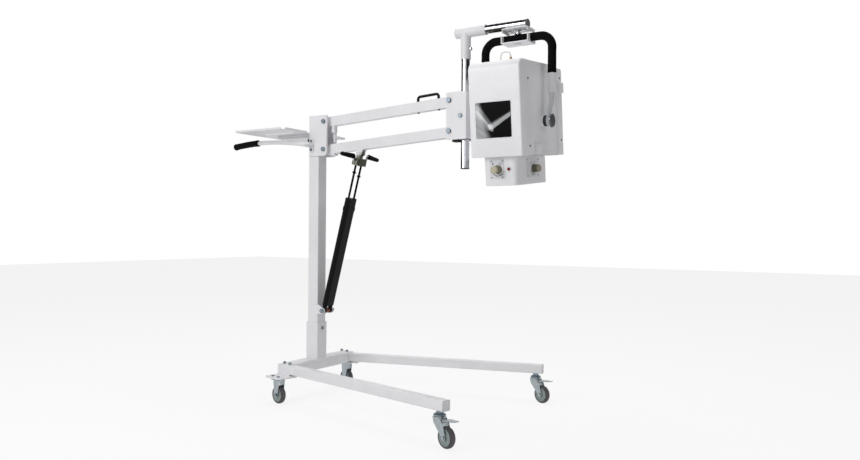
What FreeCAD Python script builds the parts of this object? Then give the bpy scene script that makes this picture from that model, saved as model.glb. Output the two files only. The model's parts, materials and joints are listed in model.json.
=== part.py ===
import FreeCAD, Part
import math
import os
from FreeCAD import Vector

# Portable x-ray machine on a wheeled stand. Sizes are in millimetres.
# +X points forward to the head, +Z is up, the floor is z = 0 and the column stands on x = y = 0.
# The operator's right-hand side is -Y.

os.makedirs("parts", exist_ok=True)

X_AXIS = Vector(1, 0, 0)
Y_AXIS = Vector(0, 1, 0)
Z_AXIS = Vector(0, 0, 1)
ORIGIN = Vector(0, 0, 0)

# Clearances
turning_gap = 0.1      # radial, between a pivot pin and its bore
slip_gap = 0.3         # between surfaces that slide or lie beside one another
bolt_gap = 0.2         # radial, between a bolt and a plain hole
slot_slack = 1.4       # around the bolt in the slot at the head of the gas springs
swing_gap = 1.5        # between forks, pedals and what they pass

# Wheeled base
wheel_diameter = 80.0
wheel_width = 24.0
tread_depth = 9.0
leg_bottom = 132.0
leg_size = 40.0
leg_wall = 2.5
leg_length = 954.0
leg_splay = 13.6
beam_depth = 70.0
beam_height = 50.0
beam_length = 472.0
beam_wall = 3.0
beam_forward = 8.0
tube_corner = 5.0
cap_thickness = 3.0
stem_inset = 30.0
caster_plate_size = (112.0, 104.0, 6.0)
caster_plate_ahead = 6.0
caster_plate_overhang = 12.0   # of its middle past the beam's end
rear_heading = -13.6
rear_wheel_setback = 18.0
caster_bolt_pitch = (42.0, 62.0)
caster_bolt_radius = 4.0
fork_thickness = 2.5
front_trail = 40.0
front_swivel_angle = -20.0
race_radius = 23.5

# Column
column_size = 60.0
column_wall = 3.0
column_top = 1320.0
sleeve_wall = 5.0
sleeve_height = 170.0
head_plate_thickness = 8.0
head_plate_back = 23.0
head_plate_front = 84.0
head_plate_bottom = 1134.0
head_plate_top = 1325.0

# Lifting arms
arm_length = 686.0
arm_slope = 3.4
arm_height = 45.0
arm_width = 30.0
arm_wall = 2.5
arm_spacing = 130.0
arm_pivot_x = 64.5
upper_pivot_z = 1295.0
pivot_bolt_radius = 6.0
pivot_tube_radius = 13.0
carry_handle_inset = 76.0  # from the bracket's pivot
carry_handle_length = 105.0
carry_handle_rise = 30.0

# End bracket and mast
end_plate_thickness = 6.0
end_plate_gap = 76.0
end_plate_back = 14.0
end_plate_length = 96.0
end_plate_below = 37.0
end_plate_above = 33.0
mast_radius = 19.0
mast_wall = 2.5
mast_offset = 54.7        # mast axis ahead of the arm pivots
mast_reach = 255.3        # boom axis above the end plates
mast_length = 577.0       # boom axis to the foot of the mast
guide_length = 52.0
boom_radius = 19.0
boom_wall = 2.0
boom_past_yoke = 39.0
plate_screw_offsets = (-38.0, 26.0)
plate_screw_radius = 4.0
tee_wall = 2.5
tee_behind = 47.0
tee_ahead = 98.0
tee_sleeve_length = 114.0
tee_screw_inset = (43.0, 32.0)

# Yoke
yoke_reach = 242.0        # yoke axis ahead of the mast axis
yoke_drop = 57.0          # yoke bar below the boom axis
yoke_half_span = 148.0
yoke_tube_radius = 12.5
yoke_tube_wall = 2.0
foam_radius = 17.5
yoke_bend = 50.0
foam_length = 154.0
yoke_sleeve_radius = 15.5
yoke_sleeve_above = 109.0  # sleeve foot above the head pivot
ear_thickness = 12.0
ear_width = 28.0
swivel_bolt_radius = 6.0
upper_plate_size = (115.0, 84.0, 4.0)
lower_plate_size = (120.0, 74.0, 4.0)

# X-ray head, drawn level and then tipped about the yoke pivot
head_tilt = 6.0
pivot_drop = 342.0        # head pivot below the yoke bar
head_half_width = 110.0
head_front = 205.0
head_seam = 123.0
head_back = 150.0
head_top = 233.0
head_bottom = 135.0
shell_wall = 4.0
corner_round = 33.0
back_round = 40.0
edge_round = 6.0
back_panel_depth = 58.0
back_panel_extra = 3.0
back_panel_drop = 12.0
collimator_half_width = 71.0
collimator_front = 178.0
collimator_back = 118.0
collimator_height = 112.0
picture_size = (150.0, 137.0, 2.0)
knob_radius = 15.5
front_knob_length = 40.0
side_knob_length = 30.0
button_radius = 6.0

# Gas springs under the arms
spring_foot = (61.5, 404.0)
spring_head_along = 192.3  # upper bolt, from the arm pivot
spring_head_below = 38.5   # upper bolt, below the lower arm's axis
spring_half_gap = 20.0
spring_cylinder_radius = 11.0
spring_cylinder_length = 545.0
spring_rod_radius = 5.0
spring_rod_inside = 255.0
spring_rod_travel = 90.0
spring_bolt_radius = 5.0
spring_bush_radius = 9.4
spring_shoulder = 16.0
spring_neck_radius = 8.0
slot_reach = (-8.6, 0.6)
cover_radius = 14.0

# Push handle and tray
handle_tube_radius = 10.5
handle_grip_radius = 16.5
handle_foot_size = (26.0, 4.0, 66.0)
handle_centre = (-6.0, 1185.0)
tray_z = 1247.0
tray_front = -36.0
tray_length = 304.0
tray_right = -205.0
tray_left = 255.0
tray_sheet = 2.0
tray_lip = 7.0


def box(x, y, z):
    """A box from three (low, high) pairs."""
    solid = Part.makeBox(x[1] - x[0], y[1] - y[0], z[1] - z[0])
    solid.translate(Vector(x[0], y[0], z[0]))
    return solid


def cylinder(radius, start, end):
    """A round bar from one point to another."""
    line = end.sub(start)
    return Part.makeCylinder(radius, line.Length, start, line)


def ring(outer, inner, start, end):
    """A round tube from one point to another."""
    return cylinder(outer, start, end).cut(cylinder(inner, start, end))


def edges_along(solid, direction):
    """The straight edges of a solid that run along a direction."""
    found = []
    for edge in solid.Edges:
        if isinstance(edge.Curve, Part.Line):
            if abs(abs(edge.tangentAt(edge.FirstParameter).dot(direction)) - 1) < 1e-6:
                found.append(edge)
    return found


def soft_box(x, y, z, radius, direction=Z_AXIS):
    """A box whose edges along one direction are rounded."""
    solid = box(x, y, z)
    return solid.makeFillet(radius, edges_along(solid, direction))


def square_tube(x, y, z, wall, direction, radius):
    """A rolled square tube, open at both ends."""
    outer = soft_box(x, y, z, radius, direction)
    spans = []
    for axis, span in zip((X_AXIS, Y_AXIS, Z_AXIS), (x, y, z)):
        if axis == direction:
            spans.append(span)
        else:
            spans.append((span[0] + wall, span[1] - wall))
    return outer.cut(soft_box(spans[0], spans[1], spans[2], radius - wall + 0.5, direction))


def hexagon(across, height, start, direction):
    """A hexagonal nut or bolt head."""
    radius = across / math.sqrt(3)
    points = []
    for corner in range(7):
        angle = math.radians(60 * corner)
        points.append(Vector(radius * math.cos(angle), radius * math.sin(angle), 0))
    solid = Part.Face(Part.makePolygon(points)).extrude(Vector(0, 0, height))
    solid.Placement = FreeCAD.Placement(start, FreeCAD.Rotation(Z_AXIS, direction))
    return solid


def bolt(radius, start, end):
    """A hexagon bolt: the head lies before the start, the shank runs to the end."""
    line = end.sub(start)
    direction = Vector(line).normalize()
    head_height = radius * 1.2
    head = hexagon(radius * 3.2, head_height, start.sub(direction * head_height), direction)
    return head.fuse(cylinder(radius, start, end)).removeSplitter()


def through_bolt(radius, start, end, tail):
    """A bolt that clamps from start to end, with its nut beyond the end."""
    line = end.sub(start)
    direction = Vector(line).normalize()
    nut = hexagon(radius * 3.2, radius * 1.6, end, direction)
    screw = bolt(radius, start, end.add(direction * (radius * 1.6 + tail)))
    return screw.fuse(nut).removeSplitter()


def turned(solid, centre, axis, angle):
    """A copy turned about an axis."""
    copy = solid.copy()
    copy.rotate(centre, axis, angle)
    return copy


def moved(solid, offset):
    """A copy moved by an offset."""
    copy = solid.copy()
    copy.translate(offset)
    return copy


def other_side(solid):
    """The mirror image on the far side of the machine."""
    return solid.mirror(ORIGIN, Y_AXIS)


def pair(solid):
    """A piece and its mirror image."""
    return [solid, other_side(solid)]


def swept(wire, radius, start, direction):
    """A round bar swept along a wire."""
    profile = Part.Wire([Part.makeCircle(radius, start, direction)])
    return wire.makePipeShell([profile], True, False)


def plate_outline(points, thickness_vector):
    """A flat plate from its corner points."""
    loop = [Vector(*point) for point in points]
    loop.append(loop[0])
    return Part.Face(Part.makePolygon(loop)).extrude(thickness_vector)


def turned_piece(points):
    """A piece turned about the Z axis from its (radius, height) outline."""
    loop = [Vector(radius, 0, height) for radius, height in points]
    loop.append(loop[0])
    return Part.Face(Part.makePolygon(loop)).revolve(ORIGIN, Z_AXIS, 360)


def save(name, *solids):
    """Write one node. Loose solids of one node stay separate."""
    shape = solids[0] if len(solids) == 1 else Part.makeCompound(list(solids))
    if not shape.isValid():
        raise RuntimeError(name + " is not a valid shape")
    shape.exportStep("parts/" + name + ".step")


def head_space(*solids):
    """Tip pieces of the head about the yoke pivot."""
    pivot = Vector(yoke_x, 0, pivot_z)
    return [turned(solid, pivot, X_AXIS, head_tilt) for solid in solids]


# Base frame

leg_top = leg_bottom + leg_size
beam_bottom = leg_bottom + (leg_size - beam_height) / 2
beam_top = beam_bottom + beam_height
beam_back = beam_forward - beam_depth / 2
beam_front = beam_forward + beam_depth / 2
beam_half = beam_length / 2
caster_plate_centre = (caster_plate_ahead, beam_half + caster_plate_overhang)


def rear_frame(solid, side):
    """Place a piece drawn on the origin at the right (-1) or left (1) rear caster plate."""
    copy = turned(solid, ORIGIN, Z_AXIS, rear_heading)
    return moved(copy, Vector(caster_plate_centre[0], side * caster_plate_centre[1], 0))


def both_rear(solid):
    """One piece at each rear caster. Fixed casters stand parallel, so they are not mirrored."""
    return [rear_frame(solid, -1), rear_frame(solid, 1)]


def caster_bolt_places(side):
    """Bolt positions of one rear caster plate: the pair under the beam, then the outer pair."""
    reach = caster_bolt_pitch[0] / 2
    across = caster_bolt_pitch[1] / 2
    pairs = []
    for y in (-side * across, side * across):
        pairs.append([rear_frame(Part.Vertex(x, y, 0), side).Point for x in (-reach, reach)])
    return pairs


def build_beam():
    tube = square_tube((beam_back, beam_front), (cap_thickness - beam_half, beam_half - cap_thickness),
                       (beam_bottom, beam_top), beam_wall, Y_AXIS, tube_corner)
    for side in (-1, 1):
        for place in caster_bolt_places(side)[0]:
            tube = tube.cut(cylinder(caster_bolt_radius + bolt_gap, place, place.add(Z_AXIS * (beam_top + 1))))
    save("cross_beam", tube)


def leg_frame(solid):
    """Put a leg drawn along +X from its outer rear corner into place on the right."""
    leg = turned(solid, ORIGIN, Z_AXIS, -leg_splay)
    return moved(leg, Vector(beam_front, -beam_half, 0))


def build_legs():
    tube = square_tube((-leg_size, leg_length), (0, leg_size), (leg_bottom, leg_top),
                       leg_wall, X_AXIS, tube_corner - 1)
    stem = leg_length - stem_inset
    tube = tube.cut(cylinder(stem_radius + bolt_gap, Vector(stem, leg_size / 2, 0),
                             Vector(stem, leg_size / 2, leg_bottom + leg_wall + 1)))
    leg = leg_frame(tube)
    leg = leg.cut(box((-200, beam_front), (-beam_length, 0), (0, 2 * leg_top)))
    save("front_legs", *pair(leg))


def build_end_caps():
    caps = []
    beam_cap = soft_box((beam_back, beam_front), (-beam_half, cap_thickness - beam_half),
                        (beam_bottom, beam_top), tube_corner, Y_AXIS)
    caps += pair(beam_cap)
    leg_cap = soft_box((leg_length, leg_length + cap_thickness), (0, leg_size),
                       (leg_bottom, leg_top), tube_corner - 1, X_AXIS)
    caps += pair(leg_frame(leg_cap))
    half = column_size / 2
    column_cap = soft_box((-half, half), (-half, half), (column_top, column_top + cap_thickness), tube_corner - 1)
    inner = half - column_wall - slip_gap
    plug = box((-inner, inner), (-inner, inner), (column_top - 12, column_top))
    caps.append(column_cap.fuse(plug))
    save("tube_end_caps", *caps)


# Rear casters, fixed to plates under the beam ends

wheel_radius = wheel_diameter / 2
plate_top = beam_bottom
plate_bottom = plate_top - caster_plate_size[2]
fork_inside = wheel_width / 2 + 2.0
fork_outside = fork_inside + fork_thickness
axle_radius = 4.0


def wheel_at(x, z):
    """Tyre and hub of one wheel that rolls along X."""
    half = wheel_width / 2
    rim = wheel_radius - tread_depth
    tyre_points = [(rim, -half + 1), (wheel_radius - 4, -half), (wheel_radius - 1, -half + 4),
                   (wheel_radius, -half + 8), (wheel_radius, half - 8), (wheel_radius - 1, half - 4),
                   (wheel_radius - 4, half), (rim, half - 1)]
    hub_points = [(axle_radius + turning_gap, -half), (12, -half), (13, -half + 3), (rim - 7, -half + 4),
                  (rim - 4, -half + 1), (rim, -half + 1), (rim, half - 1), (rim - 4, half - 1),
                  (rim - 7, half - 4), (13, half - 3), (12, half), (axle_radius + turning_gap, half)]
    solids = []
    for outline in (tyre_points, hub_points):
        loop = [Vector(radius, across, 0) for radius, across in outline]
        loop.append(loop[0])
        solid = Part.Face(Part.makePolygon(loop)).revolve(ORIGIN, Y_AXIS, 360)
        solids.append(moved(solid, Vector(x, 0, z)))
    return solids


def fork_leg(outline, side):
    """One side plate of a fork from its outline in the X-Z plane."""
    near = side * fork_inside
    return plate_outline([(x, near, z) for x, z in outline], Vector(0, side * fork_thickness, 0))


def rounded_eye(x, z, radius, side):
    near = side * fork_inside
    far = side * fork_outside
    return cylinder(radius, Vector(x, near, z), Vector(x, far, z))


def build_rear_casters():
    length, width, thickness = caster_plate_size
    plate = soft_box((-length / 2, length / 2), (-width / 2, width / 2), (plate_bottom, plate_top), 14)
    half_pitch = (caster_bolt_pitch[0] / 2, caster_bolt_pitch[1] / 2)
    flange = soft_box((-half_pitch[0] - 12, half_pitch[0] + 12), (-half_pitch[1] - 11, half_pitch[1] + 11),
                      (plate_bottom - fork_thickness, plate_bottom), 8)
    for x in (-half_pitch[0], half_pitch[0]):
        for y in (-half_pitch[1], half_pitch[1]):
            hole = cylinder(caster_bolt_radius + bolt_gap, Vector(x, y, 0), Vector(x, y, plate_top + 1))
            plate = plate.cut(hole)
            flange = flange.cut(hole)
    save("caster_plates", *both_rear(plate))

    middle = -rear_wheel_setback
    top = plate_bottom - fork_thickness
    outline = [(middle - 22, top), (middle + 22, top), (middle + 20, top - 30),
               (middle + 12, wheel_radius), (middle - 12, wheel_radius), (middle - 20, top - 30)]
    bridge = box((middle - 22, middle + 22), (-fork_outside, fork_outside), (top - fork_thickness, top))
    fork = flange.fuse(bridge)
    for side in (-1, 1):
        fork = fork.fuse(fork_leg(outline, side)).fuse(rounded_eye(middle, wheel_radius, 12, side))
    axle_hole = cylinder(axle_radius + turning_gap, Vector(middle, -60, wheel_radius), Vector(middle, 60, wheel_radius))
    fork = fork.cut(axle_hole).removeSplitter()
    axle = through_bolt(axle_radius, Vector(middle, -fork_outside, wheel_radius),
                        Vector(middle, fork_outside, wheel_radius), 1)
    save("rear_forks", *both_rear(fork))
    wheel = wheel_at(middle, wheel_radius)
    save("right_rear_wheel", *[rear_frame(solid, -1) for solid in wheel])
    save("left_rear_wheel", *[rear_frame(solid, 1) for solid in wheel])
    return both_rear(axle)


# Front casters, swivelling under the leg ends

stem_radius = 6.0
race_top = leg_bottom - 11
race_split = race_top - 9
fork_top = race_split - swing_gap
crown_thickness = 8.0
stem_length = leg_length - stem_inset
pedal_pivot = (26.0, fork_top - 14.0)


def front_frame(solid):
    """Place a piece drawn about a swivel axis on the origin under the right leg."""
    copy = turned(solid, ORIGIN, Z_AXIS, front_swivel_angle + leg_splay)
    copy.translate(Vector(stem_length, leg_size / 2, 0))
    return leg_frame(copy)


def left_frame(solid):
    """The same piece under the left leg, swivelled to the same heading."""
    copy = turned(solid, ORIGIN, Z_AXIS, front_swivel_angle)
    place = front_frame(Part.Vertex(0, 0, 0)).Point
    return moved(copy, Vector(place.x, -place.y, 0))


def build_front_casters():
    nut = hexagon(22, leg_bottom - race_top, Vector(0, 0, race_top), Z_AXIS)
    stem = cylinder(stem_radius, Vector(0, 0, race_split - 4), Vector(0, 0, leg_bottom + leg_wall + 8))
    inside_nut = hexagon(19, 8, Vector(0, 0, leg_bottom + leg_wall), Z_AXIS)
    cup = Part.makeCone(race_radius, race_radius - 6, 4, Vector(0, 0, race_top - 4))
    cup = cup.fuse(cylinder(race_radius, Vector(0, 0, race_split), Vector(0, 0, race_top - 4)))
    stem = cup.fuse([nut, stem, inside_nut]).removeSplitter()

    crown = cylinder(race_radius, Vector(0, 0, fork_top - crown_thickness), Vector(0, 0, fork_top))
    crown = crown.makeFillet(2.5, [edge for edge in crown.Edges if edge.BoundBox.ZMax < fork_top - 1])
    well = cylinder(stem_radius + slip_gap, Vector(0, 0, race_split - 4 - slip_gap), Vector(0, 0, race_top))
    outline = [(-22, fork_top - 4), (20, fork_top - 4), (front_trail - 4, fork_top - 22),
               (front_trail + 11, wheel_radius), (front_trail - 11, wheel_radius), (-16, fork_top - 24)]
    fork = crown
    for side in (-1, 1):
        fork = fork.fuse(fork_leg(outline, side)).fuse(rounded_eye(front_trail, wheel_radius, 11, side))
    hole = cylinder(axle_radius + turning_gap, Vector(front_trail, -60, wheel_radius),
                    Vector(front_trail, 60, wheel_radius))
    pin = cylinder(3, Vector(pedal_pivot[0], -fork_outside - 2, pedal_pivot[1]),
                   Vector(pedal_pivot[0], fork_outside + 2, pedal_pivot[1]))
    axle = through_bolt(axle_radius, Vector(front_trail, -fork_outside, wheel_radius),
                        Vector(front_trail, fork_outside, wheel_radius), 1)
    fork = fork.cut(well).cut(hole).fuse([pin, axle]).removeSplitter()

    x, z = pedal_pivot
    half = fork_inside - slip_gap - 0.5
    outline = [(x - 6, -half, z + 4), (x + 28, -half, z + 10), (x + 52, -half, z + 10), (x + 72, -half, z + 12),
               (x + 72, -half, z + 9), (x + 52, -half, z + 6), (x + 28, -half, z + 5), (x - 6, -half, z - 1)]
    pedal = plate_outline(outline, Vector(0, 2 * half, 0))
    tongue = edges_along(pedal, Z_AXIS)
    tip = [edge for edge in tongue if edge.BoundBox.XMin > x + 66]
    pedal = pedal.makeFillet(8, tip)
    pedal = pedal.fuse(cylinder(5.5, Vector(x, -half, z), Vector(x, half, z)))
    pedal = pedal.cut(cylinder(3 + turning_gap, Vector(x, -60, z), Vector(x, 60, z))).removeSplitter()

    wheel = wheel_at(front_trail, wheel_radius)
    save("right_front_fork", front_frame(fork))
    save("right_front_pedal", front_frame(pedal))
    save("right_front_wheel", *[front_frame(solid) for solid in wheel])
    save("left_front_fork", left_frame(fork))
    save("left_front_pedal", left_frame(pedal))
    save("left_front_wheel", *[left_frame(solid) for solid in wheel])
    return pair(front_frame(stem))


# Column

half_column = column_size / 2
ear_plate = 4.0
eye_width = 12.0
sleeve_half = half_column + slip_gap + sleeve_wall
sleeve_top = beam_top + sleeve_height
sleeve_bolt_z = sleeve_top - 28
plate_outer_y = half_column + head_plate_thickness
lower_pivot_z = upper_pivot_z - arm_spacing
handle_bolt_reach = handle_foot_size[2] / 2 - 12


def spring_foot_ear(side):
    """One of the two ears welded to the column that hold the foot of the gas springs."""
    x, z = spring_foot
    face = side * half_column
    outline = [(14, face, z - 18), (x, face, z - 14), (x, face, z + 14), (38, face, z + 28), (14, face, z + 28)]
    ear = plate_outline(outline, Vector(0, side * ear_plate, 0))
    ear = ear.fuse(cylinder(14, Vector(x, face, z), Vector(x, face + side * ear_plate, z)))
    return ear.cut(cylinder(pivot_bolt_radius + bolt_gap, Vector(x, -60, z), Vector(x, 60, z)))


def build_column():
    sleeve = soft_box((-sleeve_half, sleeve_half), (-sleeve_half, sleeve_half), (beam_top, sleeve_top), 6)
    inside = half_column + slip_gap
    sleeve = sleeve.cut(soft_box((-inside, inside), (-inside, inside), (beam_top, sleeve_top), tube_corner - 1))
    tube = square_tube((-half_column, half_column), (-half_column, half_column), (beam_top, column_top),
                       column_wall, Z_AXIS, tube_corner - 1)
    hole = cylinder(5 + bolt_gap, Vector(0, 0, sleeve_bolt_z), Vector(60, 0, sleeve_bolt_z))
    save("column_sleeve", sleeve.cut(hole))
    tube = tube.cut(hole)
    for side in (-1, 1):
        tube = tube.fuse(spring_foot_ear(side))
    save("column_tube", tube.removeSplitter())


def head_plate_holes(plate):
    for z in (upper_pivot_z, lower_pivot_z):
        plate = plate.cut(cylinder(pivot_bolt_radius + bolt_gap, Vector(arm_pivot_x, -60, z), Vector(arm_pivot_x, 60, z)))
    return plate


def build_head_plates():
    plate = box((-head_plate_back, head_plate_front), (-plate_outer_y, -half_column),
                (head_plate_bottom, head_plate_top))
    others = [edge for edge in edges_along(plate, Y_AXIS)
              if edge.BoundBox.XMin < 0 or edge.BoundBox.ZMax > head_plate_top - 1]
    plate = plate.makeFillet(3, others)
    low = [edge for edge in edges_along(plate, Y_AXIS)
           if edge.BoundBox.XMin > head_plate_front - 1 and edge.BoundBox.ZMax < head_plate_bottom + 1]
    plate = plate.makeFillet(18, low)
    save("column_head_plates", *pair(head_plate_holes(plate)))


def build_frame_bolts(extra):
    bolts = list(extra)
    under = plate_bottom - fork_thickness
    for side in (-1, 1):
        inner, outer = caster_bolt_places(side)
        for place in inner:
            foot = Vector(place.x, place.y, under)
            bolts.append(through_bolt(caster_bolt_radius, foot, Vector(place.x, place.y, beam_top), 3))
        for place in outer:
            head = Vector(place.x, place.y, plate_top)
            bolts.append(through_bolt(caster_bolt_radius, head, Vector(place.x, place.y, under), 1))
    cap = cylinder(8, Vector(sleeve_half, 0, sleeve_bolt_z), Vector(sleeve_half + 7, 0, sleeve_bolt_z))
    cap = cap.makeFillet(2, [edge for edge in cap.Edges if edge.BoundBox.XMin > sleeve_half + 6])
    shank = cylinder(5, Vector(half_column - 12, 0, sleeve_bolt_z), Vector(sleeve_half, 0, sleeve_bolt_z))
    bolts.append(cap.fuse(shank).removeSplitter())
    for z in (upper_pivot_z, lower_pivot_z):
        bolts.append(through_bolt(pivot_bolt_radius, Vector(arm_pivot_x, -plate_outer_y, z),
                                  Vector(arm_pivot_x, plate_outer_y, z), 2))
    x, z = spring_foot
    ear = half_column + ear_plate
    bolts.append(through_bolt(pivot_bolt_radius, Vector(x, -ear, z), Vector(x, ear, z), 2))
    face = plate_outer_y + handle_foot_size[1]
    for z in (handle_centre[1] - handle_bolt_reach, handle_centre[1] + handle_bolt_reach):
        bolts.append(hexagon(11, 5, Vector(handle_centre[0], -face, z), Vector(0, -1, 0)))
    save("frame_bolts", *bolts)


# Push handle on the operator's side

def build_push_handle():
    x, z = handle_centre
    face = -plate_outer_y
    width, thickness, height = handle_foot_size
    foot = soft_box((x - width / 2, x + width / 2), (face - thickness, face), (z - height / 2, z + height / 2), 6, Y_AXIS)
    bend = 26.0
    rise = math.radians(9)
    heading = Vector(-math.cos(rise), 0, math.sin(rise))
    start = Vector(x, face - thickness, z)
    corner = start.add(Vector(0, -14, 0))
    centre = corner.add(heading * bend)
    middle = centre.add(Vector(0, -1, 0) * (bend * math.sin(math.pi / 4))).sub(heading * (bend * math.cos(math.pi / 4)))
    leave = centre.add(Vector(0, -bend, 0))
    sweep_radius = 1500.0
    down = Vector(math.sin(rise), 0, math.cos(rise)) * -sweep_radius
    hub = leave.add(down)

    def arch(angle):
        return hub.add(FreeCAD.Rotation(Y_AXIS, -angle).multVec(down * -1))

    full = 16.2
    grip_from = 10.4
    path = Part.Wire([Part.makeLine(start, corner), Part.Arc(corner, middle, leave).toShape(),
                      Part.Arc(leave, arch(full / 2), arch(full)).toShape()])
    tube = swept(path, handle_tube_radius, start, Vector(0, -1, 0))
    grip_start = arch(grip_from)
    grip_heading = FreeCAD.Rotation(Y_AXIS, -grip_from).multVec(heading)
    last = full + 0.3
    grip_path = Part.Wire([Part.Arc(grip_start, arch((grip_from + last) / 2), arch(last)).toShape()])
    grip = swept(grip_path, handle_grip_radius, grip_start, grip_heading)
    ends = [edge for edge in grip.Edges if edge.Closed]
    grip = grip.makeFillet(3, ends).cut(tube)
    save("push_handle", foot.fuse(tube).removeSplitter())
    save("push_grip", grip)


# Tray behind the column

def build_tray():
    back = tray_front - tray_length
    top = tray_z + tray_sheet
    sheet = box((back, tray_front), (tray_right, tray_left), (tray_z, top))
    notch = 16.0
    corner = box((tray_front - notch, tray_front), (tray_right, tray_right + notch), (tray_z - 1, top + 1))
    sheet = sheet.cut(corner)
    lip_top = top + tray_lip
    lips = [box((back, tray_front - notch), (tray_right, tray_right + tray_sheet), (tray_z, lip_top)),
            box((back, back + tray_sheet), (tray_right, tray_left), (tray_z, lip_top)),
            box((back, tray_front), (tray_left - tray_sheet, tray_left), (tray_z, lip_top)),
            box((tray_front - tray_sheet, tray_front), (tray_right + notch, -40), (tray_z, lip_top)),
            box((tray_front - tray_sheet, tray_front), (40, tray_left), (tray_z, lip_top))]
    tray = sheet.fuse(lips).removeSplitter()
    for y in (-70.0, 70.0):
        slot = soft_box((back + 60, tray_front - 60), (y - 9, y + 9), (tray_z - 1, top + 1), 8.5)
        tray = tray.cut(slot)
    save("laptop_tray", tray)

    bar_bottom = tray_z - 14
    bar = box((-245, -half_column), (-15, 15), (bar_bottom, tray_z))
    bar = bar.cut(box((-246, -half_column - 6), (-12, 12), (bar_bottom - 1, tray_z - 3)))
    strip = box((-half_column - 4, -half_column), (-22, 22), (bar_bottom - 12, tray_z + 38))
    bracket = bar.fuse(strip).removeSplitter()
    knob_x = -50.0
    bracket = bracket.cut(cylinder(4 + bolt_gap, Vector(knob_x, 0, bar_bottom), Vector(knob_x, 0, tray_z + 1)))
    save("tray_bracket", bracket)
    knob_top = tray_z - 3
    knob = turned_piece([(0, knob_top), (9, knob_top), (9, knob_top - 2), (4, knob_top - 2), (4, bar_bottom - 8),
                         (7, bar_bottom - 8), (11, bar_bottom - 13), (11, bar_bottom - 23), (8, bar_bottom - 27),
                         (0, bar_bottom - 27)])
    return [moved(knob, Vector(knob_x, 0, 0))]


# Lifting arms

slope = math.radians(arm_slope)
bracket_x = arm_pivot_x + arm_length * math.cos(slope)
bracket_rise = arm_length * math.sin(slope)


def arm_frame(solid, z):
    """Place a piece drawn along +X from the rear pivot on the origin."""
    copy = turned(solid, ORIGIN, Y_AXIS, -arm_slope)
    return moved(copy, Vector(arm_pivot_x, 0, z))


def arm_body():
    half = arm_height / 2
    side = arm_width / 2
    body = box((0, arm_length), (-side, side), (-half, half))
    for x in (0, arm_length):
        body = body.fuse(cylinder(half, Vector(x, -side, 0), Vector(x, side, 0)))
    body = body.removeSplitter()
    inner = box((half + 4, arm_length - half - 4), (arm_wall - side, side - arm_wall), (arm_wall - half, half - arm_wall))
    body = body.cut(inner)
    rear = half_column - slip_gap
    front = end_plate_gap / 2 - slip_gap
    for x, reach in ((0, rear), (arm_length, front)):
        body = body.fuse(cylinder(pivot_tube_radius, Vector(x, -reach, 0), Vector(x, reach, 0)))
    for x in (0, arm_length):
        body = body.cut(cylinder(pivot_bolt_radius + turning_gap, Vector(x, -60, 0), Vector(x, 60, 0)))
    return body.removeSplitter()


lock_along = 32.6
lock_radius = 14.0
lock_length = 32.0
plunger_radius = 6.0
plunger_reach = 77.0


def build_upper_arm():
    half = arm_height / 2
    save("upper_arm", arm_frame(arm_body(), upper_pivot_z))

    bar = 6.0
    bend = 12.0
    low = half
    high = half + carry_handle_rise - bar
    last = arm_length - carry_handle_inset
    first = last - carry_handle_length
    cut = bend * (1 - math.cos(math.pi / 4))
    wire = Part.Wire([
        Part.makeLine(Vector(first, 0, low), Vector(first, 0, high - bend)),
        Part.Arc(Vector(first, 0, high - bend), Vector(first + cut, 0, high - cut), Vector(first + bend, 0, high)).toShape(),
        Part.makeLine(Vector(first + bend, 0, high), Vector(last - bend, 0, high)),
        Part.Arc(Vector(last - bend, 0, high), Vector(last - cut, 0, high - cut), Vector(last, 0, high - bend)).toShape(),
        Part.makeLine(Vector(last, 0, high - bend), Vector(last, 0, low))])
    handle = swept(wire, bar, Vector(first, 0, low), Z_AXIS)
    for x in (first, last):
        foot = Part.makeCone(10, bar, 6, Vector(x, 0, low))
        handle = handle.fuse(foot)
    pieces = [handle.removeSplitter()]
    for x in (first, last):
        head = cylinder(5, Vector(x, 0, -half - 4), Vector(x, 0, -half))
        pieces.append(head.makeFillet(1.5, [edge for edge in head.Edges if edge.BoundBox.ZMax < -half - 3]))
    save("carry_handle", *[arm_frame(piece, upper_pivot_z) for piece in pieces])

    bottom = -half - lock_length
    housing = cylinder(lock_radius, Vector(lock_along, 0, bottom), Vector(lock_along, 0, -half))
    housing = housing.makeFillet(3, [edge for edge in housing.Edges if edge.BoundBox.ZMax < bottom + 1])
    housing = housing.cut(cylinder(plunger_radius + turning_gap, Vector(lock_along, 0, bottom),
                                   Vector(lock_along, 0, -half - 2)))
    save("lock_housing", arm_frame(housing, upper_pivot_z))
    rod = cylinder(plunger_radius, Vector(lock_along, 0, -half - plunger_reach), Vector(lock_along, 0, -half - 14))
    pin = cylinder(2.5, Vector(lock_along, 0, bottom - 20), Vector(lock_along + 27, 0, bottom - 20))
    save("lock_plunger", arm_frame(rod.fuse(pin).removeSplitter(), upper_pivot_z))


spring_head_x = arm_pivot_x + spring_head_along
spring_head_z = lower_pivot_z + spring_head_along * math.tan(slope) - spring_head_below
spring_run = spring_head_x - spring_foot[0]
spring_rise = spring_head_z - spring_foot[1]
spring_length = math.hypot(spring_run, spring_rise)
spring_angle = math.degrees(math.atan2(spring_run, spring_rise))


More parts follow.
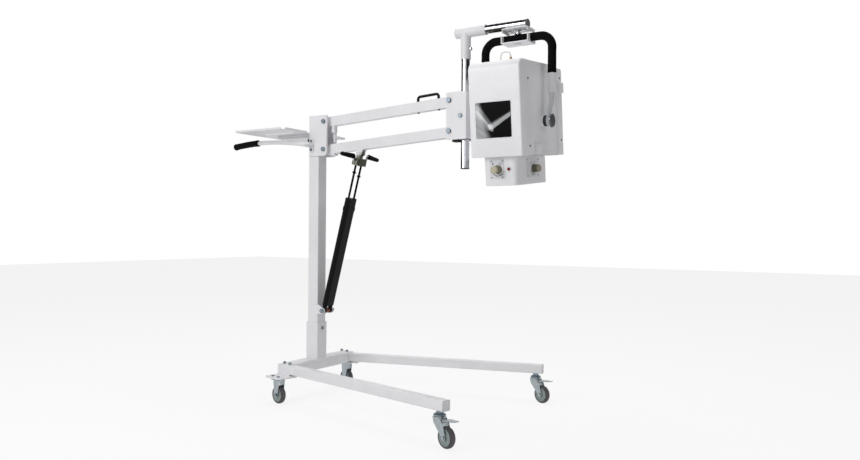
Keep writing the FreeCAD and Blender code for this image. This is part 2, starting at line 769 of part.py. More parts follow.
def build_lower_arm():
    half = arm_height / 2
    arm = arm_frame(arm_body(), lower_pivot_z)
    ears = []
    for side in (-1, 1):
        ear = plate_outline([(spring_head_x - 24, side * 12, spring_head_z + 24),
                             (spring_head_x - 12, side * 12, spring_head_z),
                             (spring_head_x + 12, side * 12, spring_head_z),
                             (spring_head_x + 24, side * 12, spring_head_z + 24)], Vector(0, side * 3, 0))
        ear = ear.fuse(cylinder(12, Vector(spring_head_x, side * 12, spring_head_z),
                                Vector(spring_head_x, side * 15, spring_head_z)))
        ears.append(ear.cut(cylinder(spring_bolt_radius + bolt_gap, Vector(spring_head_x, -20, spring_head_z),
                                     Vector(spring_head_x, 20, spring_head_z))))
    solid_arm = arm_frame(box((half, arm_length - half), (-arm_width / 2, arm_width / 2), (-half, half)), lower_pivot_z)
    arm = arm.fuse([ear.cut(solid_arm) for ear in ears])
    strip = arm_frame(box((20, 100), (-9, 9), (-half - 3, -half)), lower_pivot_z)
    foot = arm_frame(box((16, 46), (-13, 13), (-half - 9, -half)), lower_pivot_z)
    arm = arm.fuse([strip, foot]).removeSplitter()
    pin = through_bolt(spring_bolt_radius, Vector(spring_head_x, -15, spring_head_z),
                       Vector(spring_head_x, 15, spring_head_z), 1)
    save("lower_arm", arm, pin)


# Gas springs



def spring_frame(solid):
    """Place a piece drawn along +Z from the lower spring bolt on the origin."""
    copy = turned(solid, ORIGIN, Y_AXIS, spring_angle)
    return moved(copy, Vector(spring_foot[0], 0, spring_foot[1]))


def capsule(radius, low, high):
    """An upright bar with round ends, wide enough for both springs."""
    reach = spring_half_gap
    body = box((-radius, radius), (-reach, reach), (low, high))
    for y in (-reach, reach):
        body = body.fuse(cylinder(radius, Vector(0, y, low), Vector(0, y, high)))
    return body.removeSplitter()


def build_gas_springs():
    x, z = spring_foot
    half_eye = eye_width / 2
    bores = (pivot_bolt_radius + turning_gap, spring_rod_radius + turning_gap)
    rod_start = spring_cylinder_length - spring_rod_inside
    cylinders = []
    for y in (-spring_half_gap, spring_half_gap):
        body = cylinder(spring_cylinder_radius, Vector(0, y, spring_shoulder), Vector(0, y, spring_cylinder_length))
        neck_start = spring_bush_radius + slip_gap
        body = body.fuse(cylinder(spring_neck_radius, Vector(0, y, neck_start), Vector(0, y, spring_shoulder)))
        body = body.fuse(cylinder(12, Vector(0, y - half_eye, 0), Vector(0, y + half_eye, 0)))
        body = body.cut(cylinder(bores[0], Vector(0, y - 20, 0), Vector(0, y + 20, 0)))
        body = body.cut(cylinder(bores[1], Vector(0, y, rod_start - spring_rod_travel), Vector(0, y, spring_cylinder_length)))
        cylinders.append(spring_frame(body.removeSplitter()))

    cover_top = spring_cylinder_length + 2
    cover = capsule(cover_radius, 28, cover_top).fuse(capsule(cover_radius + 2, cover_top - 59, cover_top - 41))
    for y in (-spring_half_gap, spring_half_gap):
        cover = cover.cut(cylinder(spring_cylinder_radius + slip_gap, Vector(0, y, 20), Vector(0, y, cover_top + 1)))
    save("gas_cylinders", spring_frame(cover.removeSplitter()), *cylinders)

    head_low = spring_length - 56
    head_high = spring_length - 23
    rods = []
    for y, collar in ((-spring_half_gap, head_low - 34.5), (spring_half_gap, head_low - 50.5)):
        rod = cylinder(spring_rod_radius, Vector(0, y, rod_start), Vector(0, y, head_low))
        rod = rod.fuse(cylinder(8.5, Vector(0, y, collar - 4), Vector(0, y, collar + 4)))
        rods.append(spring_frame(rod.removeSplitter()))
    save("gas_rods", *rods)

    half_block = spring_half_gap + 12
    block = soft_box((-20, 22), (-half_block, half_block), (head_low, head_high), 8)
    block = block.fuse(soft_box((-16, 18), (-half_block - 4, half_block + 4), (head_low + 8, head_high - 8), 6))
    near, far = slot_reach
    reach = spring_bolt_radius + 6.0
    lug = box((near, far), (-11, 11), (spring_length - reach, spring_length + reach))
    lug = lug.fuse(box((near - 6, far + 6), (-11, 11), (head_high - 1, spring_length)))
    slot = box((near, far), (-12, 12), (spring_length - spring_bolt_radius - slot_slack,
                                        spring_length + spring_bolt_radius + slot_slack))
    for end in (near, far):
        lug = lug.fuse(cylinder(reach, Vector(end, -11, spring_length), Vector(end, 11, spring_length)))
        slot = slot.fuse(cylinder(spring_bolt_radius + slot_slack, Vector(end, -12, spring_length),
                                  Vector(end, 12, spring_length)))
    block = block.fuse(lug).cut(slot)
    lever_z = head_high - 9
    shaft_radius = 4.5
    block = block.cut(cylinder(shaft_radius + turning_gap, Vector(0, -50, lever_z), Vector(0, 50, lever_z)))
    save("release_head", spring_frame(block.removeSplitter()))

    outside = half_block + 10
    shaft = cylinder(shaft_radius, Vector(0, -outside, lever_z), Vector(0, outside, lever_z))
    grips = []
    for side, rise, drop in ((-1, 16.0, 4.0), (1, 22.0, -10.0)):
        knee = Vector(0, side * outside, lever_z)
        root = Vector(4, side * (outside + 6), lever_z + rise)
        tip = Vector(-1, side * 138, lever_z + rise + drop)
        shaft = shaft.fuse([cylinder(shaft_radius, knee, root), cylinder(shaft_radius, root, tip),
                            Part.makeSphere(shaft_radius + 1, knee), Part.makeSphere(shaft_radius + 1, root)])
        heading = tip.sub(root).normalize()
        length = tip.sub(root).Length - 4
        grip = Part.makeCone(12, 9, length, root.add(heading * 6), heading)
        grip = grip.makeFillet(3, [edge for edge in grip.Edges if edge.Closed])
        grips.append(grip.cut(cylinder(shaft_radius, root, tip)))
    save("release_levers", spring_frame(shaft.removeSplitter()))
    save("release_grips", *[spring_frame(grip) for grip in grips])

    bushes = []
    inner = spring_half_gap - half_eye
    bushes.append(ring(spring_bush_radius, bores[0], Vector(x, slip_gap - inner, z), Vector(x, inner - slip_gap, z)))
    outer = spring_half_gap + half_eye + slip_gap
    for side in (-1, 1):
        bushes.append(ring(spring_bush_radius, bores[0], Vector(x, side * outer, z), Vector(x, side * half_column, z)))
    save("spring_bushes", *bushes)


# End bracket with the mast guide

bracket_low = lower_pivot_z + bracket_rise
bracket_high = upper_pivot_z + bracket_rise
bracket_bottom = bracket_low - end_plate_below
bracket_top = bracket_high + end_plate_above
bracket_inner = end_plate_gap / 2
bracket_outer = bracket_inner + end_plate_thickness
mast_x = bracket_x + mast_offset
boom_height = bracket_top + mast_reach
mast_bottom = boom_height - mast_length
guide_back = mast_x - guide_length / 2
guide_front = mast_x + guide_length / 2
lock_screw_z = (bracket_low + bracket_high) / 2 - 3


def build_end_bracket():
    back = bracket_x - end_plate_back
    plate = soft_box((back, back + end_plate_length), (-bracket_outer, -bracket_inner),
                     (bracket_bottom, bracket_top), 5, Y_AXIS)
    for z in (bracket_low, bracket_high):
        plate = plate.cut(cylinder(pivot_bolt_radius + bolt_gap, Vector(bracket_x, -60, z), Vector(bracket_x, 60, z)))
    screw_hole = cylinder(5 + bolt_gap, Vector(mast_x, -60, lock_screw_z), Vector(mast_x, 0, lock_screw_z))
    save("end_plates", plate.cut(screw_hole), other_side(plate))

    bore = cylinder(mast_radius + turning_gap, Vector(mast_x, 0, bracket_bottom - 50), Vector(mast_x, 0, bracket_top + 50))
    guide = soft_box((guide_back, guide_front), (-bracket_inner, bracket_inner), (bracket_bottom + 3, bracket_top - 3), 4)
    relief = box((guide_back - 1, guide_back + 14), (-22, 22), (bracket_bottom + 30, bracket_top - 33))
    foot = box((bracket_x, guide_back + 2), (-16, 16), (bracket_bottom - 6, bracket_bottom + 3))
    foot = foot.fuse(box((guide_back - 4, guide_back + 2), (-16, 16), (bracket_bottom, bracket_bottom + 12)))
    guide = guide.cut(relief).fuse(foot).cut(bore).cut(screw_hole).removeSplitter()
    save("mast_guide", guide)

    bolts = []
    for z in (bracket_low, bracket_high):
        bolts.append(through_bolt(pivot_bolt_radius, Vector(bracket_x, -bracket_outer, z),
                                  Vector(bracket_x, bracket_outer, z), 2))
    tip = Vector(mast_x, -mast_radius - slip_gap, lock_screw_z)
    bolts.append(bolt(5, Vector(mast_x, -bracket_outer, lock_screw_z), tip))
    save("bracket_bolts", *bolts)


# Mast, tee fitting and boom

yoke_x = mast_x + yoke_reach
boom_end = yoke_x + boom_past_yoke
tee_back = mast_x - tee_behind
tee_front = mast_x + tee_ahead
tee_sleeve_bottom = boom_height - tee_sleeve_length


def build_mast():
    mast_top = boom_height - boom_radius - tee_wall - 0.5
    mast = ring(mast_radius, mast_radius - mast_wall, Vector(mast_x, 0, mast_bottom + cap_thickness),
                Vector(mast_x, 0, mast_top))
    save("mast", mast)

    outside = mast_radius + tee_wall
    tee = cylinder(outside, Vector(tee_back, 0, boom_height), Vector(tee_front, 0, boom_height))
    tee = tee.makeFillet(4, [edge for edge in tee.Edges if edge.BoundBox.XMax < tee_back + 1])
    tee = tee.fuse(cylinder(outside, Vector(mast_x, 0, tee_sleeve_bottom), Vector(mast_x, 0, boom_height)))
    bore = mast_radius + turning_gap
    tee = tee.cut(cylinder(bore, Vector(tee_back + 11, 0, boom_height), Vector(tee_front + 1, 0, boom_height)))
    tee = tee.cut(cylinder(bore, Vector(mast_x, 0, tee_sleeve_bottom - 1), Vector(mast_x, 0, mast_top)))
    screw_z = tee_sleeve_bottom + tee_screw_inset[0]
    screw_x = tee_front - tee_screw_inset[1]
    hole = cylinder(4 + turning_gap, Vector(mast_x, 0, screw_z), Vector(mast_x + 40, 0, screw_z))
    side_hole = cylinder(4 + turning_gap, Vector(screw_x, 0, boom_height), Vector(screw_x, 40, boom_height))
    save("tee_fitting", tee.cut(hole).cut(side_hole).removeSplitter())

    boom = ring(boom_radius, boom_radius - boom_wall, Vector(tee_back + 11, 0, boom_height), Vector(boom_end, 0, boom_height))
    boom = boom.cut(cylinder(swivel_bolt_radius + turning_gap, Vector(yoke_x, 0, boom_height - 30), Vector(yoke_x, 0, boom_height)))
    plate_screws = [yoke_x + offset for offset in plate_screw_offsets]
    for x in plate_screws:
        boom = boom.cut(cylinder(plate_screw_radius + turning_gap, Vector(x, 0, boom_height - 30), Vector(x, 0, boom_height)))
    save("boom", boom)

    foot_cap = cylinder(mast_radius, Vector(mast_x, 0, mast_bottom), Vector(mast_x, 0, mast_bottom + cap_thickness))
    foot_cap = foot_cap.fuse(cylinder(mast_radius - mast_wall - slip_gap, Vector(mast_x, 0, mast_bottom),
                                      Vector(mast_x, 0, mast_bottom + 12)))
    end_cap = cylinder(boom_radius, Vector(boom_end, 0, boom_height), Vector(boom_end + 6, 0, boom_height))
    end_cap = end_cap.makeFillet(2, [edge for edge in end_cap.Edges if edge.BoundBox.XMin > boom_end + 5])
    end_cap = end_cap.fuse(cylinder(boom_radius - boom_wall - slip_gap, Vector(boom_end - 8, 0, boom_height),
                                    Vector(boom_end, 0, boom_height)))
    save("mast_end_caps", foot_cap.removeSplitter(), end_cap.removeSplitter())

    length, width, thickness = upper_plate_size
    top = boom_height - boom_radius
    low = top - thickness
    plate = soft_box((yoke_x - length / 2, yoke_x + length / 2), (-width / 2, width / 2), (low, top), 6)
    for side in (-1, 1):
        outer = yoke_x + side * length / 2
        flange = box(sorted((outer, outer - side * 3)), (8 - width / 2, width / 2 - 8), (low - 10, low))
        plate = plate.fuse(flange)
    plate = plate.cut(cylinder(swivel_bolt_radius + turning_gap, Vector(yoke_x, 0, low - 1), Vector(yoke_x, 0, top + 1)))
    for x in plate_screws:
        plate = plate.cut(cylinder(plate_screw_radius + bolt_gap, Vector(x, 0, low - 1), Vector(x, 0, top + 1)))
    save("upper_bracket", plate.removeSplitter())

    fasteners = [bolt(plate_screw_radius, Vector(x, 0, low), Vector(x, 0, top + 8)) for x in plate_screws]
    fasteners.append(bolt(4, Vector(mast_x + outside + 1, 0, screw_z), Vector(mast_x + mast_radius + slip_gap, 0, screw_z)))
    fasteners.append(bolt(4, Vector(screw_x, outside + 1, boom_height),
                          Vector(screw_x, boom_radius + slip_gap, boom_height)))
    save("mast_fasteners", *fasteners)


# Yoke

yoke_bar_z = boom_height - yoke_drop
pivot_z = yoke_bar_z - pivot_drop
foam_bottom = yoke_bar_z - foam_length
yoke_sleeve_bottom = pivot_z + yoke_sleeve_above


def yoke_wire(low):
    """Centre line of the yoke tube, an arch over the head."""
    left = yoke_x - yoke_half_span
    right = yoke_x + yoke_half_span
    top = yoke_bar_z
    cut = yoke_bend * (1 - math.cos(math.pi / 4))
    first = Part.Arc(Vector(left, 0, top - yoke_bend), Vector(left + cut, 0, top - cut), Vector(left + yoke_bend, 0, top))
    last = Part.Arc(Vector(right - yoke_bend, 0, top), Vector(right - cut, 0, top - cut), Vector(right, 0, top - yoke_bend))
    return Part.Wire([Part.makeLine(Vector(left, 0, low), Vector(left, 0, top - yoke_bend)), first.toShape(),
                      Part.makeLine(Vector(left + yoke_bend, 0, top), Vector(right - yoke_bend, 0, top)), last.toShape(),
                      Part.makeLine(Vector(right, 0, top - yoke_bend), Vector(right, 0, low))])


ear_inner = yoke_half_span - 15.0


def build_yoke():
    start = Vector(yoke_x - yoke_half_span, 0, yoke_sleeve_bottom + 4)
    wire = yoke_wire(yoke_sleeve_bottom + 4)
    tube = swept(wire, yoke_tube_radius, start, Z_AXIS)
    core = swept(wire, yoke_tube_radius - yoke_tube_wall, start, Z_AXIS)
    bolt_hole = cylinder(swivel_bolt_radius + bolt_gap, Vector(yoke_x, 0, yoke_bar_z - 50), Vector(yoke_x, 0, yoke_bar_z + 30))
    tube = tube.cut(core).cut(bolt_hole)
    save("yoke_tube", tube)
    foam_wire = yoke_wire(foam_bottom)
    foam_start = Vector(yoke_x - yoke_half_span, 0, foam_bottom)
    foam = swept(foam_wire, foam_radius, foam_start, Z_AXIS)
    foam = foam.cut(swept(foam_wire, yoke_tube_radius, foam_start, Z_AXIS))
    save("yoke_foam", foam.cut(bolt_hole))

    arms = []
    for side in (-1, 1):
        axis = yoke_x + side * yoke_half_span
        sleeve = ring(yoke_sleeve_radius, yoke_tube_radius + turning_gap, Vector(axis, 0, yoke_sleeve_bottom + 4),
                      Vector(axis, 0, foam_bottom - slip_gap))
        sleeve = sleeve.fuse(cylinder(yoke_sleeve_radius, Vector(axis, 0, yoke_sleeve_bottom), Vector(axis, 0, yoke_sleeve_bottom + 4)))
        neck = cylinder(12, Vector(axis, 0, yoke_sleeve_bottom - 11), Vector(axis, 0, yoke_sleeve_bottom))
        inner = yoke_x + side * ear_inner
        outer = inner + side * ear_thickness
        top_z = yoke_sleeve_bottom - 11
        outline = [(axis - side * 6, -ear_width / 2, top_z), (axis + side * 6, -ear_width / 2, top_z),
                   (axis + side * 6, -ear_width / 2, top_z - 18), (outer, -ear_width / 2, top_z - 50),
                   (outer, -ear_width / 2, pivot_z), (inner, -ear_width / 2, pivot_z),
                   (inner, -ear_width / 2, top_z - 56), (axis - side * 6, -ear_width / 2, top_z - 22)]
        ear = plate_outline(outline, Vector(0, ear_width, 0))
        eye = cylinder(23, Vector(inner, 0, pivot_z), Vector(outer, 0, pivot_z))
        arm = sleeve.fuse([neck, ear, eye])
        arm = arm.cut(cylinder(pivot_bolt_radius + bolt_gap, Vector(inner - side * 5, 0, pivot_z), Vector(outer + side * 5, 0, pivot_z)))
        arms.append(arm.removeSplitter())
    save("yoke_arms", *arms)

    pivots = []
    for side in (-1, 1):
        inner = yoke_x + side * ear_inner
        outer = inner + side * ear_thickness
        boss = yoke_x + side * (head_half_width + 9)
        collar = cylinder(22, Vector(boss + side * slip_gap, 0, pivot_z), Vector(inner, 0, pivot_z))
        shank = cylinder(pivot_bolt_radius, Vector(boss - side * 8, 0, pivot_z), Vector(outer, 0, pivot_z))
        cap = cylinder(29.5, Vector(outer, 0, pivot_z), Vector(outer + side * 8, 0, pivot_z))
        far = outer + side * 8
        cap = cap.makeFillet(3, [edge for edge in cap.Edges if abs(edge.BoundBox.XMin - far) < 0.01])
        pivots.append(cap.fuse([collar, shank]).removeSplitter())

    length, width, thickness = lower_plate_size
    top = yoke_bar_z - foam_radius - slip_gap
    low = top - thickness
    x0 = yoke_x - length / 2
    x1 = yoke_x + length / 2
    bracket = box((x0, x1), (-width / 2, width / 2), (low, top))
    for wall in ((x0, x0 + thickness), (x1 - thickness, x1)):
        upright = box(wall, (-width / 2, width / 2), (low, yoke_bar_z + 10))
        upright = upright.cut(cylinder(foam_radius + slip_gap, Vector(wall[0] - 1, 0, yoke_bar_z), Vector(wall[1] + 1, 0, yoke_bar_z)))
        reach = foam_radius + slip_gap
        upright = upright.cut(box((wall[0] - 1, wall[1] + 1), (-reach, reach), (yoke_bar_z, yoke_bar_z + 11)))
        bracket = bracket.fuse(upright)
    bracket = bracket.cut(cylinder(swivel_bolt_radius + bolt_gap, Vector(yoke_x, 0, low - 1), Vector(yoke_x, 0, top + 1)))
    save("lower_bracket", bracket.removeSplitter())

    plate_low = boom_height - boom_radius - upper_plate_size[2]
    foam_top = yoke_bar_z + foam_radius
    shank = cylinder(swivel_bolt_radius, Vector(yoke_x, 0, low), Vector(yoke_x, 0, boom_height - 2))
    head = cylinder(11, Vector(yoke_x, 0, low - 4), Vector(yoke_x, 0, low))
    head = head.makeFillet(1.5, [edge for edge in head.Edges if edge.BoundBox.ZMax < low - 3])
    nut = hexagon(18, 9, Vector(yoke_x, 0, boom_height - boom_radius + 6), Z_AXIS)
    stack = cylinder(15, Vector(yoke_x, 0, foam_top + slip_gap), Vector(yoke_x, 0, foam_top + 3))
    stack = stack.fuse(cylinder(10, Vector(yoke_x, 0, foam_top + 3), Vector(yoke_x, 0, plate_low - 4)))
    stack = stack.fuse(cylinder(15, Vector(yoke_x, 0, plate_low - 4), Vector(yoke_x, 0, plate_low - slip_gap)))
    save("yoke_bolts", shank.fuse([head, nut, stack]).removeSplitter(), *pivots)


# X-ray head

top_z = pivot_z + head_top
bottom_z = pivot_z - head_bottom
head_left = yoke_x - head_half_width
head_right = yoke_x + head_half_width


def wrapped_shell(half_width, y, z, front_round, back_round):
    """A housing whose front, top and back are one bent sheet between flat sides."""
    body = box((yoke_x - half_width, yoke_x + half_width), y, z)
    for radius, place in ((front_round, y[0]), (back_round, y[1])):
        bend = [edge for edge in edges_along(body, X_AXIS)
                if abs(edge.BoundBox.YMin - place) < 1 and edge.BoundBox.ZMin > z[1] - 1]
        if radius:
            body = body.makeFillet(radius, bend)
    return body


def side_outline(body, half_width, seam):
    """The edges round both flat sides of a housing, without those on its seam."""
    outline = []
    for edge in body.Edges:
        limits = edge.BoundBox
        flat = abs(limits.XMin - limits.XMax) < 0.01 and abs(abs(limits.XMin - yoke_x) - half_width) < 0.01
        on_seam = abs(limits.YMin - seam) < 0.01 and abs(limits.YMax - seam) < 0.01
        if flat and not on_seam:
            outline.append(edge)
    return outline


def build_head_shells():
    wall = shell_wall
    front = wrapped_shell(head_half_width, (-head_front, -head_seam), (bottom_z, top_z), corner_round, 0)
    front = front.makeFillet(edge_round, side_outline(front, head_half_width, -head_seam))
    cavity = wrapped_shell(head_half_width - wall, (wall - head_front, -head_seam),
                           (bottom_z + wall, top_z - wall), corner_round - wall, 0)
    front = front.cut(cavity)

    narrow = head_half_width - 2
    rear = wrapped_shell(narrow, (-head_seam, head_back), (bottom_z + 2, top_z - 3), 0, back_round)
    cavity = wrapped_shell(narrow - wall, (-head_seam, head_back - wall),
                           (bottom_z + 2 + wall, top_z - 3 - wall), 0, back_round - wall)
    rear = rear.cut(cavity)
    port = cylinder(30, Vector(yoke_x, 0, bottom_z - 5), Vector(yoke_x, 0, bottom_z + 10))
    rear = rear.cut(port)
    for side in (-1, 1):
        face = yoke_x + side * (narrow - wall)
        boss = cylinder(22, Vector(face, 0, pivot_z), Vector(yoke_x + side * (head_half_width + 9), 0, pivot_z))
        bore = cylinder(pivot_bolt_radius + turning_gap, Vector(yoke_x + side * (head_half_width - 1), 0, pivot_z),
                        Vector(yoke_x + side * (head_half_width + 10), 0, pivot_z))
        rear = rear.fuse(boss).cut(bore)
    save("head_front_shell", *head_space(front))
    save("head_rear_shell", *head_space(rear.removeSplitter()))

    wide = head_half_width + back_panel_extra
    panel_back = head_back + back_panel_depth
    panel_top = top_z - back_panel_drop
    panel = wrapped_shell(wide, (head_back, panel_back), (bottom_z - 2, panel_top), 0, 12)
    panel = panel.makeFillet(3, side_outline(panel, wide, head_back))
    groove = box((yoke_x - wide - 1, yoke_x + wide + 1), (head_back + 15, head_back + 18), (bottom_z - 3, panel_top + 1))
    core = box((yoke_x - wide + 2, yoke_x + wide - 2), (head_back + 14, head_back + 19), (bottom_z, panel_top - 2))
    panel = panel.cut(groove.cut(core))
    cavity = box((yoke_x - wide + wall + 3, yoke_x + wide - wall - 3), (head_back, panel_back - wall - 2),
                 (bottom_z + wall + 3, panel_top - wall - 3))
    save("back_panel", *head_space(panel.cut(cavity)))

    tank_low = bottom_z + 2 + wall
    half = head_half_width - 40
    depth = head_seam - 43
    tank = soft_box((yoke_x - half, yoke_x + half), (-depth, depth), (tank_low, pivot_z + 41), 12)
    tank = tank.cut(cylinder(28, Vector(yoke_x, 0, tank_low - 1), Vector(yoke_x, 0, tank_low + 60)))
    save("generator_tank", *head_space(tank))


def build_head_fittings():
    x_size, z_size, thickness = picture_size
    middle_x = yoke_x - 7
    middle_z = pivot_z + 7.5
    picture = soft_box((middle_x - x_size / 2, middle_x + x_size / 2), (-head_front - thickness, -head_front),
                       (middle_z - z_size / 2, middle_z + z_size / 2), 3, Y_AXIS)
    save("picture_panel", *head_space(picture))

    wide = head_half_width + back_panel_extra
    hook_face = yoke_x + wide
    hook = box((hook_face, hook_face + 12), (head_back + 2, head_back + 46), (pivot_z + 120, pivot_z + 162))
    hook = hook.makeFillet(3, [edge for edge in edges_along(hook, Y_AXIS) if edge.BoundBox.XMin > hook_face + 1])
    hook = hook.cut(box((hook_face + 3, hook_face + 9), (head_back + 8, head_back + 47), (pivot_z + 119, pivot_z + 157)))
    side_face = yoke_x + head_half_width - 2
    low_hook = box((side_face, side_face + 13), (-85, 45), (bottom_z + 4, bottom_z + 44))
    low_hook = low_hook.makeFillet(4, [edge for edge in edges_along(low_hook, Z_AXIS) if edge.BoundBox.XMin > side_face + 1])
    low_hook = low_hook.cut(box((side_face + 3, side_face + 14), (-40, 46), (bottom_z + 8, bottom_z + 40)))
    low_hook = low_hook.cut(box((side_face + 3, side_face + 9), (-79, 46), (bottom_z + 8, bottom_z + 40)))
    save("cord_hooks", *head_space(hook, low_hook))

    start_x = yoke_x - 24
    end_x = yoke_x + 20
    y = -84.0
    top = top_z - 3
    rise = top + 22
    reach = (end_x - start_x) / 2
    wire = Part.Wire([Part.makeLine(Vector(start_x, y, top), Vector(start_x, y, rise)),
                      Part.Arc(Vector(start_x, y, rise), Vector(start_x + reach, y, rise + reach), Vector(end_x, y, rise)).toShape()])
    cord = swept(wire, 2.5, Vector(start_x, y, top), Z_AXIS)
    plug = cylinder(5, Vector(end_x, y, top), Vector(end_x, y, rise))
    plug = plug.fuse(cylinder(7, Vector(end_x, y, top), Vector(end_x, y, top + 3)))
    save("cord_loop", *head_space(cord, plug.removeSplitter()))

    screws = []
    spots = [(yoke_x + head_half_width, -head_seam - 8, 160), (yoke_x + head_half_width, -head_seam - 8, -98)]
    spots += [(yoke_x + wide, head_back + 34, 181), (yoke_x + wide, head_back + 34, -75)]
    for x, y, z in spots:
        for side in (1, -1):
            face = yoke_x + side * (x - yoke_x)
            start = Vector(face, y, pivot_z + z)
            screws.append(cylinder(4, start, start.add(X_AXIS * (side * 1.6))))
    for x in front_plate_x:
        for z in plate_z:
            start = Vector(x, -collimator_front - plate_sheet, pivot_z + z)
            screws.append(cylinder(2.2, start, start.sub(Y_AXIS * 1.2)))
    for y in side_plate_y:
        for z in plate_z:
            start = Vector(yoke_x + collimator_half_width + plate_sheet, y, pivot_z + z)
            screws.append(cylinder(2.2, start, start.add(X_AXIS * 1.2)))
    save("head_screws", *head_space(*screws))


# Collimator under the head

plate_sheet = 2.0
front_plate_x = (yoke_x - 36, yoke_x + 12)
side_plate_y = (-79.0, 25.0)
plate_z = (-214.0, -151.0)
front_knob_place = (yoke_x - 8, pivot_z - 184)
side_knob_place = (-25.0, pivot_z - 186)
button_place = (yoke_x + 39, pivot_z - 183)


def fluted_knob(length):
    """A turned knob with a fluted grip, drawn along +Z from its seat."""
    points = [(0, slip_gap), (knob_radius + 2, slip_gap), (knob_radius + 2, 3), (knob_radius, 6),
              (knob_radius - 1, length - 3), (knob_radius - 3, length), (0, length)]
    knob = turned_piece(points)
    count = 16
    for step in range(count):
        angle = 2 * math.pi * step / count
        place = Vector((knob_radius + 1) * math.cos(angle), (knob_radius + 1) * math.sin(angle), 7)
        knob = knob.cut(cylinder(1.8, place, place.add(Z_AXIS * length)))
    return knob.fuse(cylinder(4, Vector(0, 0, -6), Vector(0, 0, 1))).removeSplitter()


def build_collimator():
    low = bottom_z - collimator_height
    body = box((yoke_x - collimator_half_width, yoke_x + collimator_half_width),
               (-collimator_front, collimator_back), (low, bottom_z))
    body = body.makeFillet(18, edges_along(body, Z_AXIS))
    outer_bottom = [edge for edge in body.Edges if abs(edge.BoundBox.ZMax - low) < 0.01]
    body = body.makeFillet(3, outer_bottom)
    wall = 3.0
    inner = collimator_half_width - wall
    cavity = box((yoke_x - inner, yoke_x + inner), (wall - collimator_front, collimator_back - wall),
                 (low + wall, bottom_z - wall))
    cavity = cavity.makeFillet(15, edges_along(cavity, Z_AXIS))
    body = body.cut(cavity)
    window = 52.0
    body = body.cut(soft_box((yoke_x - window, yoke_x + window), (-window, window), (low - 1, low + wall + 1), 6))
    body = body.cut(cylinder(26, Vector(yoke_x, 0, bottom_z - 10), Vector(yoke_x, 0, bottom_z + 1)))
    ledge = soft_box((yoke_x - window - 6, yoke_x + window + 6), (-window - 6, window + 6), (low + wall, low + wall + 3), 6)
    ledge = ledge.cut(soft_box((yoke_x - window + 6, yoke_x + window - 6), (6 - window, window - 6), (low, low + 20), 4))
    body = body.fuse(ledge)
    x, z = front_knob_place
    body = body.cut(cylinder(4 + turning_gap, Vector(x, -collimator_front - 1, z), Vector(x, -collimator_front + 10, z)))
    x, z = button_place
    body = body.cut(cylinder(button_radius + turning_gap, Vector(x, -collimator_front - 1, z), Vector(x, -collimator_front + 10, z)))
    y, z = side_knob_place
    right = yoke_x + collimator_half_width
    body = body.cut(cylinder(4 + turning_gap, Vector(right + 1, y, z), Vector(right - 10, y, z)))
    collar_x, collar_z = button_place
    collar = ring(button_radius + 3, button_radius + turning_gap, Vector(collar_x, -collimator_front, collar_z),
                  Vector(collar_x, -collimator_front - 2.5, collar_z))
    save("collimator_housing", *head_space(body.fuse(collar).removeSplitter()))
    pane = soft_box((yoke_x - window + slip_gap, yoke_x + window - slip_gap), (slip_gap - window, window - slip_gap),
                    (low, low + wall), 5.7)
    save("beam_window", *head_space(pane))

    margin = 6.0
    front_plate = soft_box((front_plate_x[0] - margin, front_plate_x[1] + margin),
                           (-collimator_front - plate_sheet, -collimator_front),
                           (pivot_z + plate_z[0] - margin, pivot_z + plate_z[1] + margin), 3, Y_AXIS)
    x, z = front_knob_place
    front_plate = front_plate.cut(cylinder(4 + turning_gap, Vector(x, -collimator_front - 5, z), Vector(x, 5 - collimator_front, z)))
    side_plate = soft_box((right, right + plate_sheet), (side_plate_y[0] - margin, side_plate_y[1] + margin),
                          (pivot_z + plate_z[0] - margin, pivot_z + plate_z[1] + margin), 3, X_AXIS)
    y, z = side_knob_place
    side_plate = side_plate.cut(cylinder(4 + turning_gap, Vector(right - 5, y, z), Vector(right + 5, y, z)))
    save("knob_plates", *head_space(front_plate, side_plate))

    front_knob = turned(fluted_knob(front_knob_length), ORIGIN, X_AXIS, 90)
    front_knob.translate(Vector(front_knob_place[0], -collimator_front - plate_sheet, front_knob_place[1]))
    save("front_knob", *head_space(front_knob))
    side_knob = turned(fluted_knob(side_knob_length), ORIGIN, Y_AXIS, 90)
    side_knob.translate(Vector(right + plate_sheet, side_knob_place[0], side_knob_place[1]))
    save("side_knob", *head_space(side_knob))

    x, z = button_place
    button = cylinder(button_radius, Vector(x, -collimator_front + 8, z), Vector(x, -collimator_front - 6, z))
    button = button.makeFillet(2, [edge for edge in button.Edges if edge.BoundBox.YMax < -collimator_front - 5])
    save("lamp_button", *head_space(button))


build_beam()
build_legs()
build_end_caps()
loose = build_rear_casters()
loose += build_front_casters()
build_column()
build_head_plates()
loose += build_tray()
build_frame_bolts(loose)
build_push_handle()
build_upper_arm()
build_lower_arm()
build_gas_springs()
build_end_bracket()
build_mast()
build_yoke()
build_head_shells()
build_collimator()
build_head_fittings()
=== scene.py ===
"""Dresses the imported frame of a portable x-ray machine and sets it on a plain studio floor."""

import json
import math

import bpy
from bpy.props import FloatProperty, FloatVectorProperty, PointerProperty
from bpy.types import Operator, Panel, PropertyGroup
from mathutils import Matrix, Vector


